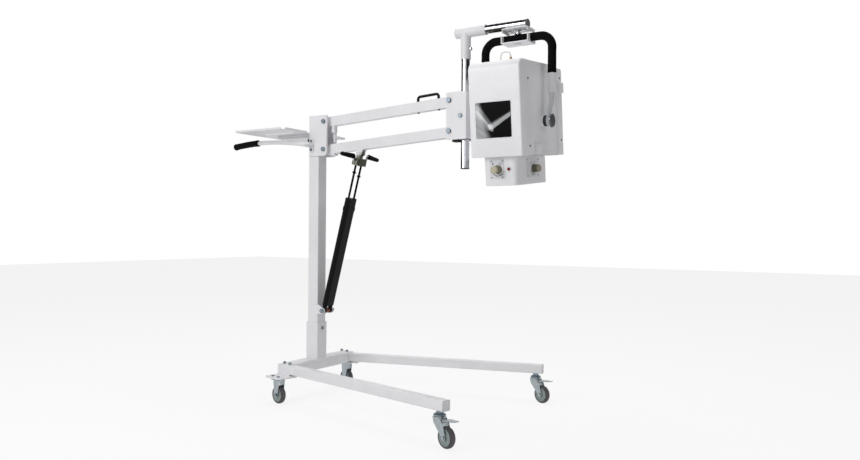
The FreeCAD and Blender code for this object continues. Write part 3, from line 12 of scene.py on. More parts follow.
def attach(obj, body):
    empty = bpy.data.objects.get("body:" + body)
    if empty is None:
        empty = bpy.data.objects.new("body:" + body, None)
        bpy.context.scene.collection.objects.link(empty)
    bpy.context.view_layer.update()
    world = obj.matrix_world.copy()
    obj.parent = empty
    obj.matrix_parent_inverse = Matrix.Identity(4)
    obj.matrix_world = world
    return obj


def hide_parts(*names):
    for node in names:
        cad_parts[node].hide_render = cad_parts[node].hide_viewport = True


bl_info = {
    "name": "Portable X-Ray Machine",
    "version": (1, 0, 0),
    "blender": (4, 5, 0),
    "location": "View3D > Sidebar > X-Ray Machine",
    "description": "Finishes, soft pieces, small fittings and studio for a portable x-ray machine",
    "category": "Object",
}

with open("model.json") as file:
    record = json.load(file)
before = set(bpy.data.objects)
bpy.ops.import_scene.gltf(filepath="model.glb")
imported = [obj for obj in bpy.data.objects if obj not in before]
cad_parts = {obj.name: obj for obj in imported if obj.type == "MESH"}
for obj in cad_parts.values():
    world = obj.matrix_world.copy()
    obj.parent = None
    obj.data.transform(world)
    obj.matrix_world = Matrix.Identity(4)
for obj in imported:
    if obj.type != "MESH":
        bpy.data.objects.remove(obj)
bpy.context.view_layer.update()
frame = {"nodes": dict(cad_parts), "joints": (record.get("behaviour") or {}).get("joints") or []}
joints = {joint["name"]: joint for joint in frame["joints"]}


def paint(red, green, blue):
    """A screen colour, 0 to 255, as the linear colour that shaders take."""
    steps = [part / 255 for part in (red, green, blue)]
    return tuple(part / 12.92 if part <= 0.04045 else ((part + 0.055) / 1.055) ** 2.4 for part in steps)


def colour_property(name, description, default):
    return FloatVectorProperty(name=name, description=description, default=default, subtype="COLOR",
                               size=3, min=0.0, max=1.0)


def length_property(name, description, default):
    return FloatProperty(name=name, description=description, default=default, subtype="DISTANCE",
                         unit="LENGTH", precision=4)


class MachineColours(PropertyGroup):
    """Colours of the machine's finishes."""

    steel_paint: colour_property("Steel paint", "Powder coat on the stand", paint(236, 236, 239))
    head_paint: colour_property("Head paint", "Painted housing of the x-ray head", paint(247, 247, 250))
    zinc: colour_property("Zinc", "Plated bolts and screws", paint(132, 144, 154))
    fork: colour_property("Forks", "Plated wheel forks and brake pedals", paint(168, 176, 180))
    aluminium: colour_property("Aluminium", "Turned and milled ears of the yoke", paint(222, 225, 229))
    cap_face: colour_property("Cap face", "Face of the head's pivot caps", paint(116, 120, 126))
    # Grey painted on the tray's underside as shade.
    tray_underside_shade: colour_property("Tray underside", "Grey painted shade under the tray", paint(158, 160, 164))
    chrome: colour_property("Chrome", "Mast, boom, levers and pivot caps", paint(214, 216, 220))
    cast_metal: colour_property("Cast metal", "Head of the gas springs", paint(122, 124, 114))
    tread: colour_property("Tread", "Wheel treads", paint(74, 72, 78))
    hub: colour_property("Hub", "Wheel hubs", paint(140, 153, 150))
    foam: colour_property("Foam", "Foam sleeve and hand grips", paint(13, 13, 14))
    black_plastic: colour_property("Black plastic", "Handle, guide foot and tray knob", paint(26, 26, 28))
    black_paint: colour_property("Black paint", "Gas springs and their cover", paint(13, 13, 14))
    grey_plastic: colour_property("Grey plastic", "End caps of the boom and mast", paint(92, 94, 98))
    knob_side: colour_property("Knob side", "Fluted sides of the blade knobs", paint(126, 120, 98))
    knob_cap: colour_property("Knob cap", "Caps of the blade knobs", paint(198, 190, 164))
    bush: colour_property("Bush", "Bushes at the foot of the gas springs", paint(126, 66, 48))
    lamp_red: colour_property("Lamp button", "Push button of the field lamp", paint(120, 20, 24))
    brass: colour_property("Brass", "Connector of the captive lead", paint(186, 138, 84))
    lead: colour_property("Captive lead", "Sleeve of the captive lead", paint(224, 224, 222))
    ink: colour_property("Ink", "Printed marks round the knobs", paint(36, 40, 50))


class MachineSizes(PropertyGroup):
    """Sizes of the pieces that are modelled here."""

    yoke_centre: length_property("Yoke centre", "Distance of the yoke from the column", 1.046)
    yoke_half_span: length_property("Yoke half span", "Half the distance between the yoke's legs", 0.148)
    yoke_bar: length_property("Yoke bar", "Height of the yoke's bar", 1.567)
    yoke_bend: length_property("Yoke bend", "Bend radius of the yoke tube", 0.050)
    foam_low: length_property("Foam end", "Height at which the foam sleeve ends", 1.413)
    foam_radius: length_property("Foam radius", "Outer radius of the foam sleeve", 0.0175)
    foam_bore: length_property("Foam bore", "Radius of the tube inside the foam", 0.0125)
    crease: length_property("Crease", "Depth of the creases inside the foam's bends", 0.0011)
    grip_radius: length_property("Grip radius", "Outer radius of the push grip", 0.0165)
    grip_bore: length_property("Grip bore", "Radius of the tube inside the push grip", 0.0105)
    pivot_height: length_property("Pivot height", "Height of the head's pivot", 1.225)
    lead_radius: length_property("Lead radius", "Radius of the captive lead", 0.0025)
    bevel: length_property("Edge break", "Rounding that the finishes give to sharp edges", 0.0012)
    head_tilt: FloatProperty(name="Head tilt", description="Angle at which the head hangs",
                             default=math.radians(6.0), subtype="ANGLE", unit="ROTATION")


class StageSettings(PropertyGroup):
    """Camera, lamps and floor."""

    camera_place: FloatVectorProperty(name="Camera", description="Where the camera stands", size=3,
                                      default=(2.3471, -2.7977, 0.7790), subtype="TRANSLATION",
                                      unit="LENGTH")
    camera_turn: FloatVectorProperty(name="Camera turn", description="Its heading, pitch and roll",
                                     size=3, subtype="EULER", unit="ROTATION",
                                     default=(math.radians(31.50), math.radians(0.15), math.radians(0.43)))
    lens: FloatProperty(name="Lens", description="Focal length for a 36 mm wide sensor", default=31.58,
                        unit="CAMERA")
    key_power: FloatProperty(name="Key", description="Power of the large lamp", default=88.0, unit="POWER")
    fill_power: FloatProperty(name="Fill", description="Power of the side lamp", default=8.0, unit="POWER")
    top_power: FloatProperty(name="Top", description="Power of the top lamp", default=74.0, unit="POWER")
    ambient: FloatProperty(name="Ambient", description="Strength of the light from all round", default=0.33)
    floor: colour_property("Floor", "Colour of the floor", paint(236, 236, 236))


class Signal:
    """A number that varies over a surface, held as a node's output."""

    def __init__(self, graph, socket):
        self.graph = graph
        self.socket = socket

    def __add__(self, other):
        return self.graph.maths("ADD", self, other)

    __radd__ = __add__

    def __sub__(self, other):
        return self.graph.maths("SUBTRACT", self, other)

    def __rsub__(self, other):
        return self.graph.maths("SUBTRACT", other, self)

    def __mul__(self, other):
        return self.graph.maths("MULTIPLY", self, other)

    __rmul__ = __mul__

    def __truediv__(self, other):
        return self.graph.maths("DIVIDE", self, other)

    def __gt__(self, other):
        return self.graph.maths("GREATER_THAN", self, other)

    def __lt__(self, other):
        return self.graph.maths("LESS_THAN", self, other)

    def __abs__(self):
        return self.graph.maths("ABSOLUTE", self)

    def root(self):
        return self.graph.maths("SQRT", self)

    def most(self, other):
        return self.graph.maths("MAXIMUM", self, other)

    def clamp(self):
        node = self.graph.node("ShaderNodeMath", {"operation": "ADD", "use_clamp": True}, {0: self, 1: 0.0})
        return Signal(self.graph, node.outputs[0])

    def ramp(self, low, high):
        """0 below low, 1 above high, and a soft step between them. Low may be the larger."""
        settings = {"interpolation_type": "SMOOTHSTEP", "clamp": True}
        sockets = {"Value": self, "From Min": low, "From Max": high}
        node = self.graph.node("ShaderNodeMapRange", settings, sockets)
        return Signal(self.graph, node.outputs["Result"])

    def above(self, limit, blur):
        """1 above a limit, with a soft step that reaches blur to either side of it."""
        return self.ramp(limit - blur, limit + blur)

    def below(self, limit, blur):
        """1 below a limit, with a soft step that reaches blur to either side of it."""
        return self.ramp(limit + blur, limit - blur)


class Graph:
    """A node tree that is written in code."""

    def __init__(self, tree):
        self.tree = tree
        tree.nodes.clear()

    def node(self, kind, settings=None, sockets=None):
        """Add a node. Its settings come first, then the values or links of its sockets."""
        node = self.tree.nodes.new(kind)
        for name, value in (settings or {}).items():
            setattr(node, name, value)
        for key, value in (sockets or {}).items():
            self.feed(node.inputs[key], value)
        return node

    def feed(self, socket, value):
        source = value.socket if isinstance(value, Signal) else value
        if isinstance(source, bpy.types.NodeSocket):
            self.tree.links.new(source, socket)
        else:
            socket.default_value = source

    def maths(self, operation, *values):
        node = self.node("ShaderNodeMath", {"operation": operation}, dict(enumerate(values)))
        return Signal(self, node.outputs[0])

    def vector(self, operation, *values):
        node = self.node("ShaderNodeVectorMath", {"operation": operation}, dict(enumerate(values)))
        return node.outputs["Vector"]

    def dot(self, first, second):
        node = self.node("ShaderNodeVectorMath", {"operation": "DOT_PRODUCT"}, {0: first, 1: second})
        return Signal(self, node.outputs["Value"])

    def blend(self, factor, first, second):
        """A colour between two colours."""
        sockets = {0: factor, 6: opaque(first), 7: opaque(second)}
        return self.node("ShaderNodeMix", {"data_type": "RGBA"}, sockets).outputs[2]


def machine_settings(context):
    """The colours and the sizes that the scene holds."""
    return context.scene.machine_colours, context.scene.machine_sizes


def opaque(colour):
    """A colour with its alpha, or a link as it is."""
    return colour if isinstance(colour, bpy.types.NodeSocket) else (*colour[:3], 1.0)


def shade(colour, amount):
    """A colour made lighter or darker by a share."""
    return tuple(min(1.0, part * amount) for part in colour)


class Finish(Graph):
    """A material with one shader, whose varying inputs come from expressions."""

    def __init__(self, name, metallic=0.0, coat=0.0, specular=0.5):
        self.material = bpy.data.materials.new(name)
        self.material.use_nodes = True
        self.rounded = None
        super().__init__(self.material.node_tree)
        sockets = {"Metallic": metallic, "Coat Weight": coat, "Coat Roughness": 0.12,
                   "Specular IOR Level": specular}
        self.shader = self.node("ShaderNodeBsdfPrincipled", None, sockets)
        self.node("ShaderNodeOutputMaterial", None, {"Surface": self.shader.outputs["BSDF"]})
        self.place = self.node("ShaderNodeTexCoord").outputs["Object"]

    def axes(self):
        """The three coordinates of the piece's own space."""
        split = self.node("ShaderNodeSeparateXYZ", None, {0: self.place})
        return [Signal(self, output) for output in split.outputs]

    def noise(self, size, detail=2.0, stretch=(1.0, 1.0, 1.0)):
        """Noise whose features are about that size in metres."""
        place = self.vector("MULTIPLY", self.place, stretch) if stretch != (1.0, 1.0, 1.0) else self.place
        sockets = {"Vector": place, "Scale": 1 / size, "Detail": detail, "Roughness": 0.55}
        return Signal(self, self.node("ShaderNodeTexNoise", None, sockets).outputs[0])

    def edges(self, radius):
        """1 on sharp outer edges and in sharp corners, 0 on flat and gently curved faces."""
        self.rounded = self.node("ShaderNodeBevel", {"samples": 4}, {"Radius": radius}).outputs["Normal"]
        true = self.node("ShaderNodeNewGeometry").outputs["Normal"]
        return ((1.0 - self.dot(self.rounded, true)) * 9.0).clamp()

    def radial(self, centre, axis):
        """Distance from a line through centre along axis."""
        offset = self.vector("SUBTRACT", self.place, tuple(centre))
        along = self.dot(offset, tuple(axis))
        return (self.dot(offset, offset) - along * along).most(0.0).root()

    def colour(self, value):
        self.feed(self.shader.inputs["Base Color"], opaque(value))

    def roughness(self, value):
        self.feed(self.shader.inputs["Roughness"], value)

    def bump(self, height, strength, distance):
        sockets = {"Height": height, "Strength": strength, "Distance": distance}
        if self.rounded is not None:
            sockets["Normal"] = self.rounded
        node = self.node("ShaderNodeBump", None, sockets)
        self.feed(self.shader.inputs["Normal"], node.outputs["Normal"])


def coated(name, base, rough, bevel, worn=None, grain=0.0009, peel=0.10, dust=0.05, **kinds):
    """A painted or moulded surface: mottling, fine grain, rubbed edges and a little dust on its tops."""
    finish = Finish(name, **kinds)
    mottle = finish.noise(0.11, 4.0)
    specks = finish.noise(grain, 1.0)
    rubs = finish.noise(0.018, 6.0, (1.0, 1.0, 0.35)).ramp(0.60, 0.78)
    edge = finish.edges(bevel) * finish.noise(0.006, 3.0).ramp(0.35, 0.62)
    up = finish.dot(finish.node("ShaderNodeNewGeometry").outputs["Normal"], (0.0, 0.0, 1.0))
    settled = up.ramp(0.5, 1.0) * finish.noise(0.03, 5.0).ramp(0.35, 0.75) * dust
    tone = finish.blend(mottle.ramp(0.3, 0.7), shade(base, 0.955), shade(base, 1.02))
    tone = finish.blend(edge * 0.55, tone, worn or shade(base, 0.80))
    tone = finish.blend(settled, tone, paint(150, 146, 138))
    finish.colour(tone)
    finish.roughness(rough + (mottle - 0.5) * 0.10 + rubs * 0.07 + settled * 1.4 + edge * 0.06)
    finish.bump(specks + rubs * 0.4, peel, 0.0006)
    return finish


def plated(name, base, rough, bevel, stain=0.12, brushed=None, rim=1.18):
    """Bare or plated metal: cloudy plating, fine scratches, and edges and corners that rim makes lighter
    above 1 and darker below 1; the dark rims are painted shade.
    """
    finish = Finish(name, metallic=1.0)
    clouds = finish.noise(0.012, 5.0)
    lines = finish.noise(0.0012, 4.0, brushed or (1.0, 1.0, 1.0))
    edge = finish.edges(bevel)
    tarnish = finish.noise(0.004, 4.0).ramp(0.58, 0.80)
    tone = finish.blend(clouds.ramp(0.3, 0.7), shade(base, 0.88), shade(base, 1.08))
    tone = finish.blend(tarnish * stain, tone, shade(base, 0.45))
    tone = finish.blend(edge * (0.4 if rim > 1 else 0.8), tone, shade(base, rim))
    finish.colour(tone)
    finish.roughness((rough + (clouds - 0.5) * 0.16 + tarnish * 0.12 + (lines - 0.5) * 0.10).most(0.04))
    finish.bump(lines, 0.05, 0.0004)
    return finish


def rubbery(name, base, rough, pore, relief, bevel):
    """Foam or rubber: pores, scuffed high spots and a greyish bloom."""
    finish = Finish(name, specular=0.06)
    sockets = {"Vector": finish.place, "Scale": 1 / pore}
    cells = finish.node("ShaderNodeTexVoronoi", {"feature": "F1"}, sockets)
    pores = Signal(finish, cells.outputs["Distance"])
    bloom = finish.noise(0.03, 5.0).ramp(0.45, 0.8)
    scuff = finish.noise(0.009, 6.0, (1.0, 1.0, 0.4)).ramp(0.62, 0.82)
    edge = finish.edges(bevel)
    tone = finish.blend(bloom * 0.5, base, shade(base, 1.9))
    tone = finish.blend((scuff * 0.35 + edge * 0.25).clamp(), tone, shade(base, 3.2))
    finish.colour(tone)
    finish.roughness(rough + (bloom - 0.5) * 0.10 + scuff * 0.05)
    finish.bump(pores + finish.noise(pore * 6, 3.0) * 0.8, relief, 0.0008)
    return finish


def put_on(finish, *names):
    """Give a finish to carried-over nodes."""
    for name in names:
        slots = frame["nodes"][name].data.materials
        slots.clear()
        slots.append(finish.material)


def smooth_mesh(name, points, faces, finish):
    """A closed mesh piece with its finish."""
    mesh = bpy.data.meshes.new(name)
    mesh.from_pydata(points, [], faces)
    mesh.validate()
    mesh.polygons.foreach_set("use_smooth", [True] * len(mesh.polygons))
    mesh.materials.append(finish.material)
    piece = bpy.data.objects.new(name, mesh)
    bpy.context.scene.collection.objects.link(piece)
    return piece


def ring(centre, across, up, around, radius):
    """Points round a centre, where radius takes an angle."""
    points = []
    for step in range(around):
        turn = 2 * math.pi * step / around
        reach = radius(turn)
        points.append(centre + across * (reach * math.cos(turn)) + up * (reach * math.sin(turn)))
    return points


def band(first, second, around):
    """Faces between two rings, given by their places in a list of rings."""
    faces = []
    for step in range(around):
        beside = (step + 1) % around
        faces.append((first * around + step, first * around + beside,
                      second * around + beside, second * around + step))
    return faces


BORE_STRIDE = 4     # a sleeve's bore has one ring for this many steps of its outside


def sleeve(name, stations, bore, around, finish):
    """A hollow sleeve. Each station is (centre, across, up, radius), where radius takes an angle.

    The number of steps between stations is a multiple of BORE_STRIDE, so that the bore reaches both ends.
    """
    rings = [ring(centre, across, up, around, radius) for centre, across, up, radius in stations]
    for centre, across, up, _ in stations[::-BORE_STRIDE]:
        rings.append(ring(centre, across, up, around, lambda turn: bore))
    faces = []
    for place in range(len(rings)):
        faces += band(place, (place + 1) % len(rings), around)
    return smooth_mesh(name, sum(rings, []), faces, finish)


def rounded_lip(distance, size):
    """How far a rounded end of that size falls back at a distance from the end."""
    return size * (1 - math.sqrt(1 - (1 - min(distance / size, 1.0)) ** 2))


def turned(name, outline, foot, axis, around, finish, flats=0, flat_from=0, flat_to=0):
    """A turned piece from (radius, height) pairs. Rings flat_from to flat_to are cut to flats."""
    axis = axis.normalized()
    across = axis.orthogonal().normalized()
    up = axis.cross(across)
    rings = []
    for index, (radius, height) in enumerate(outline):

        def reach(turn, radius=radius, cut=flats and flat_from <= index <= flat_to):
            if not cut:
                return radius
            sector = math.pi / flats
            return radius * math.cos(sector) / math.cos((turn % (2 * sector)) - sector)

        rings.append(ring(foot + axis * height, across, up, around, reach))
    faces = [tuple(range(around))[::-1]]
    for place in range(len(rings) - 1):
        faces += band(place, place + 1, around)
    faces.append(tuple((len(rings) - 1) * around + step for step in range(around)))
    return smooth_mesh(name, sum(rings, []), faces, finish)


def head_point(sizes, x, y, z):
    """A point of the level head, tipped with it about the yoke's pivot."""
    cosine, sine = math.cos(sizes.head_tilt), math.sin(sizes.head_tilt)
    height = sizes.pivot_height + y * sine + z * cosine
    return Vector((sizes.yoke_centre + x, y * cosine - z * sine, height))


def head_axes(finish, sizes):
    """Shader coordinates of the level head, from the yoke's pivot."""
    x, y, z = finish.axes()
    cosine, sine = math.cos(sizes.head_tilt), math.sin(sizes.head_tilt)
    lifted = z - sizes.pivot_height
    return x - sizes.yoke_centre, y * cosine + lifted * sine, lifted * cosine - y * sine


class MACHINE_OT_stand(Operator):
    """Powder-coat the wheeled base, column, arms, tray and brackets"""

    bl_idname = "machine.stand"
    bl_label = "Stand"

    def execute(self, context):
        colours, sizes = machine_settings(context)
        steel = coated("steel_powder_coat", colours.steel_paint, 0.40, sizes.bevel, dust=0.10)
        put_on(steel, "cross_beam", "front_legs", "column_sleeve", "column_tube", "column_head_plates",
               "caster_plates", "push_handle", "tray_bracket", "upper_arm", "lower_arm", "lock_housing",
               "lock_plunger", "end_plates", "tee_fitting", "upper_bracket", "lower_bracket")
        caps = coated("white_cap_plastic", shade(colours.steel_paint, 0.97), 0.52, sizes.bevel,
                      grain=0.0005, peel=0.06)
        put_on(caps, "tube_end_caps")
        base = colours.steel_paint
        # The tray's grey underside is painted shade; the mast guide's black foot is its own colour.
        self.two_tone_and_shade(sizes, "laptop_tray", base, self.tray_shade_mask, colours.tray_underside_shade)
        self.two_tone_and_shade(sizes, "mast_guide", base, self.guide_mask, colours.black_plastic)
        return {"FINISHED"}

    def tray_shade_mask(self, finish):
        """1 on the underside of the sheet, inside its rim, where grey is painted as shade."""
        middle_x, middle_y, sheet_height = -0.188, 0.025, 1.246
        half_length, half_width = 0.149, 0.228
        x, y, z = finish.axes()
        inside = (abs(x - middle_x) < half_length) * (abs(y - middle_y) < half_width)
        return z.below(sheet_height, 0.0002) * inside

    def guide_mask(self, finish):
        """1 on the plastic foot under the mast guide."""
        foot_top = 1.1718
        return finish.axes()[2].below(foot_top, 0.0004)

    def two_tone_and_shade(self, sizes, node, base, mask, second):
        """Powder coat with a second colour where a mask says so: painted shade under the tray, and black
        plastic on the mast guide's foot.
        """
        finish = Finish(node + "_coat")
        part = mask(finish)
        mottle = finish.noise(0.09, 4.0)
        edge = finish.edges(sizes.bevel) * finish.noise(0.006, 3.0).ramp(0.35, 0.62)
        first = finish.blend(mottle, shade(base, 0.955), shade(base, 1.02))
        other = finish.blend(mottle, shade(second, 0.90), shade(second, 1.08))
        tone = finish.blend(part, first, other)
        finish.colour(finish.blend(edge * 0.5, tone, shade(base, 0.80)))
        finish.roughness(0.42 + (mottle - 0.5) * 0.10 + part * 0.08)
        finish.bump(finish.noise(0.0009, 1.0), 0.10, 0.0006)
        put_on(finish, node)


class MACHINE_OT_head(Operator):
    """Paint the x-ray head, its back panel, collimator and cord hooks"""

    bl_idname = "machine.head"
    bl_label = "X-ray head"

    def execute(self, context):
        colours, sizes = machine_settings(context)
        shell = coated("head_paint", colours.head_paint, 0.34, sizes.bevel,
                       grain=0.0006, peel=0.05, coat=0.15)
        put_on(shell, "head_front_shell", "head_rear_shell", "back_panel", "collimator_housing")
        moulded = coated("hook_plastic", shade(colours.head_paint, 0.97), 0.45, sizes.bevel,
                         grain=0.0005, peel=0.05)
        put_on(moulded, "cord_hooks")
        tank = plated("tank_metal", colours.zinc, 0.45, sizes.bevel)
        put_on(tank, "generator_tank")
        return {"FINISHED"}


class MACHINE_OT_metal(Operator):
    """Plate the mast, boom, yoke, forks, bolts and levers"""

    bl_idname = "machine.metal"
    bl_label = "Metalwork"

    def execute(self, context):
        colours, sizes = machine_settings(context)
        chrome = plated("bright_chrome", colours.chrome, 0.13, sizes.bevel, stain=0.05,
                        brushed=(1.0, 1.0, 0.06))
        put_on(chrome, "mast", "boom", "release_levers", "yoke_tube", "mast_fasteners")
        # The bolts' dark rims, rim 0.2, are painted shade.
        zinc = plated("zinc_plate", shade(colours.zinc, 0.55), 0.30, 0.0022, stain=0.3, rim=0.2)
        put_on(zinc, "bracket_bolts")
        screws = plated("blued_screws", shade(colours.zinc, 0.45), 0.34, 0.0006, stain=0.3)
        put_on(screws, "head_screws")
        forks = plated("zinc_forks", colours.fork, 0.33, sizes.bevel, stain=0.25)
        put_on(forks, "rear_forks", "right_front_fork", "left_front_fork")
        put_on(forks, "right_front_pedal", "left_front_pedal")
        cast = plated("cast_block", colours.cast_metal, 0.50, sizes.bevel, stain=0.30)
        put_on(cast, "release_head")
        self.pivots(colours, sizes)
        self.ears(colours, sizes)
        self.bolts_and_knob(colours, sizes)
        return {"FINISHED"}

    def pivots(self, colours, sizes):
        """Chrome bolts with a turned grey face on the caps and a dull collar inside the yoke."""
        cap_foot, face_radius = 0.150, 0.0265
        collar_end, collar_radius = 0.1335, 0.0240
        ring_pitch = 0.0009
        finish = Finish("pivot_caps_and_bolt", metallic=1.0)
        side = abs(finish.axes()[0] - sizes.yoke_centre)
        reach = finish.radial((0.0, 0.0, sizes.pivot_height), (1.0, 0.0, 0.0))
        face = (side > cap_foot) * reach.below(face_radius, 0.0003)
        cloud = finish.noise(0.010, 4.0)
        rings = finish.maths("SINE", reach * (2 * math.pi / ring_pitch)) * 0.5 + 0.5
        bright = finish.blend(cloud, shade(colours.chrome, 0.86), shade(colours.chrome, 1.05))
        dull = finish.blend(cloud, shade(colours.cap_face, 0.85), shade(colours.cap_face, 1.15))
        collar = (side < collar_end) * (reach < collar_radius)
        tone = finish.blend(face, bright, dull)
        finish.colour(finish.blend(collar, tone, shade(colours.cap_face, 0.55)))
        finish.roughness(0.14 + cloud * 0.08 + face * 0.34 + collar * 0.30)
        finish.edges(sizes.bevel)
        finish.bump(rings * face, 0.12, 0.0003)
        put_on(finish, "yoke_bolts")

    def ears(self, colours, sizes):
        """Bare milled ears below the painted sleeves of the yoke."""
        paint_end = 1.3330
        finish = Finish("yoke_ears_and_sleeves")
        bare = finish.axes()[2].below(paint_end, 0.0005)
        cloud = finish.noise(0.015, 4.0)
        lines = finish.noise(0.0009, 3.0, (1.0, 1.0, 0.05))
        milled = finish.blend(lines, shade(colours.aluminium, 0.84), shade(colours.aluminium, 1.05))
        coat = finish.blend(cloud, shade(colours.steel_paint, 0.96), colours.steel_paint)
        finish.colour(finish.blend(bare, coat, milled))
        finish.feed(finish.shader.inputs["Metallic"], bare * 0.20)
        finish.roughness(0.38 - bare * 0.10 + cloud * 0.08)
        finish.edges(sizes.bevel)
        finish.bump(lines, 0.06, 0.0004)
        put_on(finish, "yoke_arms")

    def bolts_and_knob(self, colours, sizes):
        """Zinc on the frame's bolts, and black plastic on the tray's clamp knob among them."""
        knob_front, knob_foot = -0.038, 1.195
        finish = Finish("bolts_and_tray_knob")
        x, _, z = finish.axes()
        knob = (x < knob_front) * (z > knob_foot)
        clouds = finish.noise(0.012, 5.0)
        tarnish = finish.noise(0.004, 4.0).ramp(0.58, 0.80)
        zinc = colours.zinc
        bright = finish.blend(clouds.ramp(0.3, 0.7), shade(zinc, 0.88), shade(zinc, 1.08))
        bright = finish.blend(tarnish * 0.15, bright, shade(zinc, 0.45))
        finish.colour(finish.blend(knob, bright, colours.black_plastic))
        finish.feed(finish.shader.inputs["Metallic"], 1.0 - knob)
        finish.roughness(0.30 + clouds * 0.14 + knob * 0.15)
        finish.edges(sizes.bevel)
        finish.bump(tarnish, 0.05, 0.0004)
        put_on(finish, "frame_bolts")


class MACHINE_OT_wheels(Operator):
    """Finish the treads and hubs of the four wheels"""

    bl_idname = "machine.wheels"
    bl_label = "Wheels"

    def execute(self, context):
        colours, sizes = machine_settings(context)
        hub_radius, shoulder_radius = 0.0306, 0.0395
        hub = colours.hub
        for corner in ("right_rear", "left_rear", "right_front", "left_front"):
            joint = joints[corner + "_roll"]
            finish = Finish(corner + "_wheel_rubber")
            reach = finish.radial(joint["pos_m"], joint["axis"])
            tread = reach.above(hub_radius, 0.0006)
            grit = finish.noise(0.0012, 4.0)
            scuff = finish.noise(0.006, 5.0).ramp(0.52, 0.78)
            rolled = reach.above(shoulder_radius, 0.0003)
            rubber = finish.blend(scuff * 0.5 + rolled * 0.3, colours.tread, paint(122, 118, 114))
            plastic = finish.blend(finish.noise(0.02, 3.0), shade(hub, 0.90), shade(hub, 1.08))
            plastic = finish.blend(finish.edges(sizes.bevel) * 0.5, plastic, shade(hub, 1.3))
            finish.colour(finish.blend(tread, plastic, rubber))
            finish.roughness(0.44 + tread * 0.22 + scuff * 0.08 + (grit - 0.5) * 0.08)
            finish.bump(grit * (0.35 + tread * 0.65), 0.20, 0.0007)
            put_on(finish, corner + "_wheel")
        return {"FINISHED"}


class MACHINE_OT_plastics(Operator):
    """Finish the knobs, caps, carry handle, gas springs, grips and bushes"""

    bl_idname = "machine.plastics"
    bl_label = "Plastic pieces"

    def execute(self, context):
        colours, sizes = machine_settings(context)
        bevel = sizes.bevel
        black = coated("black_plastic", colours.black_plastic, 0.42, bevel, grain=0.0005, peel=0.12,
                       worn=shade(colours.black_plastic, 2.6), specular=0.12)
        put_on(black, "carry_handle")
        enamel = coated("black_enamel", colours.black_paint, 0.36, bevel, grain=0.0011, peel=0.10,
                        worn=shade(colours.black_paint, 4.0), dust=0.05, specular=0.10)
        put_on(enamel, "gas_cylinders", "gas_rods")
        grey = coated("grey_cap_plastic", colours.grey_plastic, 0.50, bevel, grain=0.0005)
        put_on(grey, "mast_end_caps")
        bush = coated("bush_plastic", colours.bush, 0.55, bevel, grain=0.0005)
        put_on(bush, "spring_bushes")
        button = coated("button_plastic", colours.lamp_red, 0.22, bevel, grain=0.0004, peel=0.03,
                        coat=0.5)
        put_on(button, "lamp_button")
        rubber = rubbery("grip_rubber", colours.foam, 0.62, 0.0011, 0.25, bevel)
        put_on(rubber, "release_grips")
        # The side knob gets the front knob's colours darkened to 0.62: painted shade.
        self.blade_knob("front_knob", 1, -0.2085, -1, 1.0, colours, sizes)
        self.blade_knob("side_knob", 0, 0.0935, 1, 0.62, colours, sizes)
        return {"FINISHED"}

    def blade_knob(self, name, axis, tip, way, painted_shade_factor, colours, sizes):
        """A fluted knob along one axis of the head, with a paler cap beyond its tip. The factor after way
        darkens both its colours as painted shade, for the knob on the head's shaded side.
        """
        cap_blend = 0.0012
        # Both colours are darkened by the factor: painted shade.
        side, top = shade(colours.knob_side, painted_shade_factor), shade(colours.knob_cap, painted_shade_factor)
        finish = Finish(name + "_plastic")
        cap = head_axes(finish, sizes)[axis].ramp(tip, tip + way * cap_blend)
        cloud = finish.noise(0.008, 4.0)
        worn = finish.edges(sizes.bevel)
        body = finish.blend(cloud, shade(side, 0.80), shade(side, 1.12))
        disc = finish.blend(cloud, shade(top, 0.92), shade(top, 1.05))
        finish.colour(finish.blend(worn * 0.35, finish.blend(cap, body, disc), shade(top, 1.1)))
        finish.roughness(0.42 + cloud * 0.14)
        finish.bump(finish.noise(0.0006, 2.0), 0.10, 0.0005)
        put_on(finish, name)


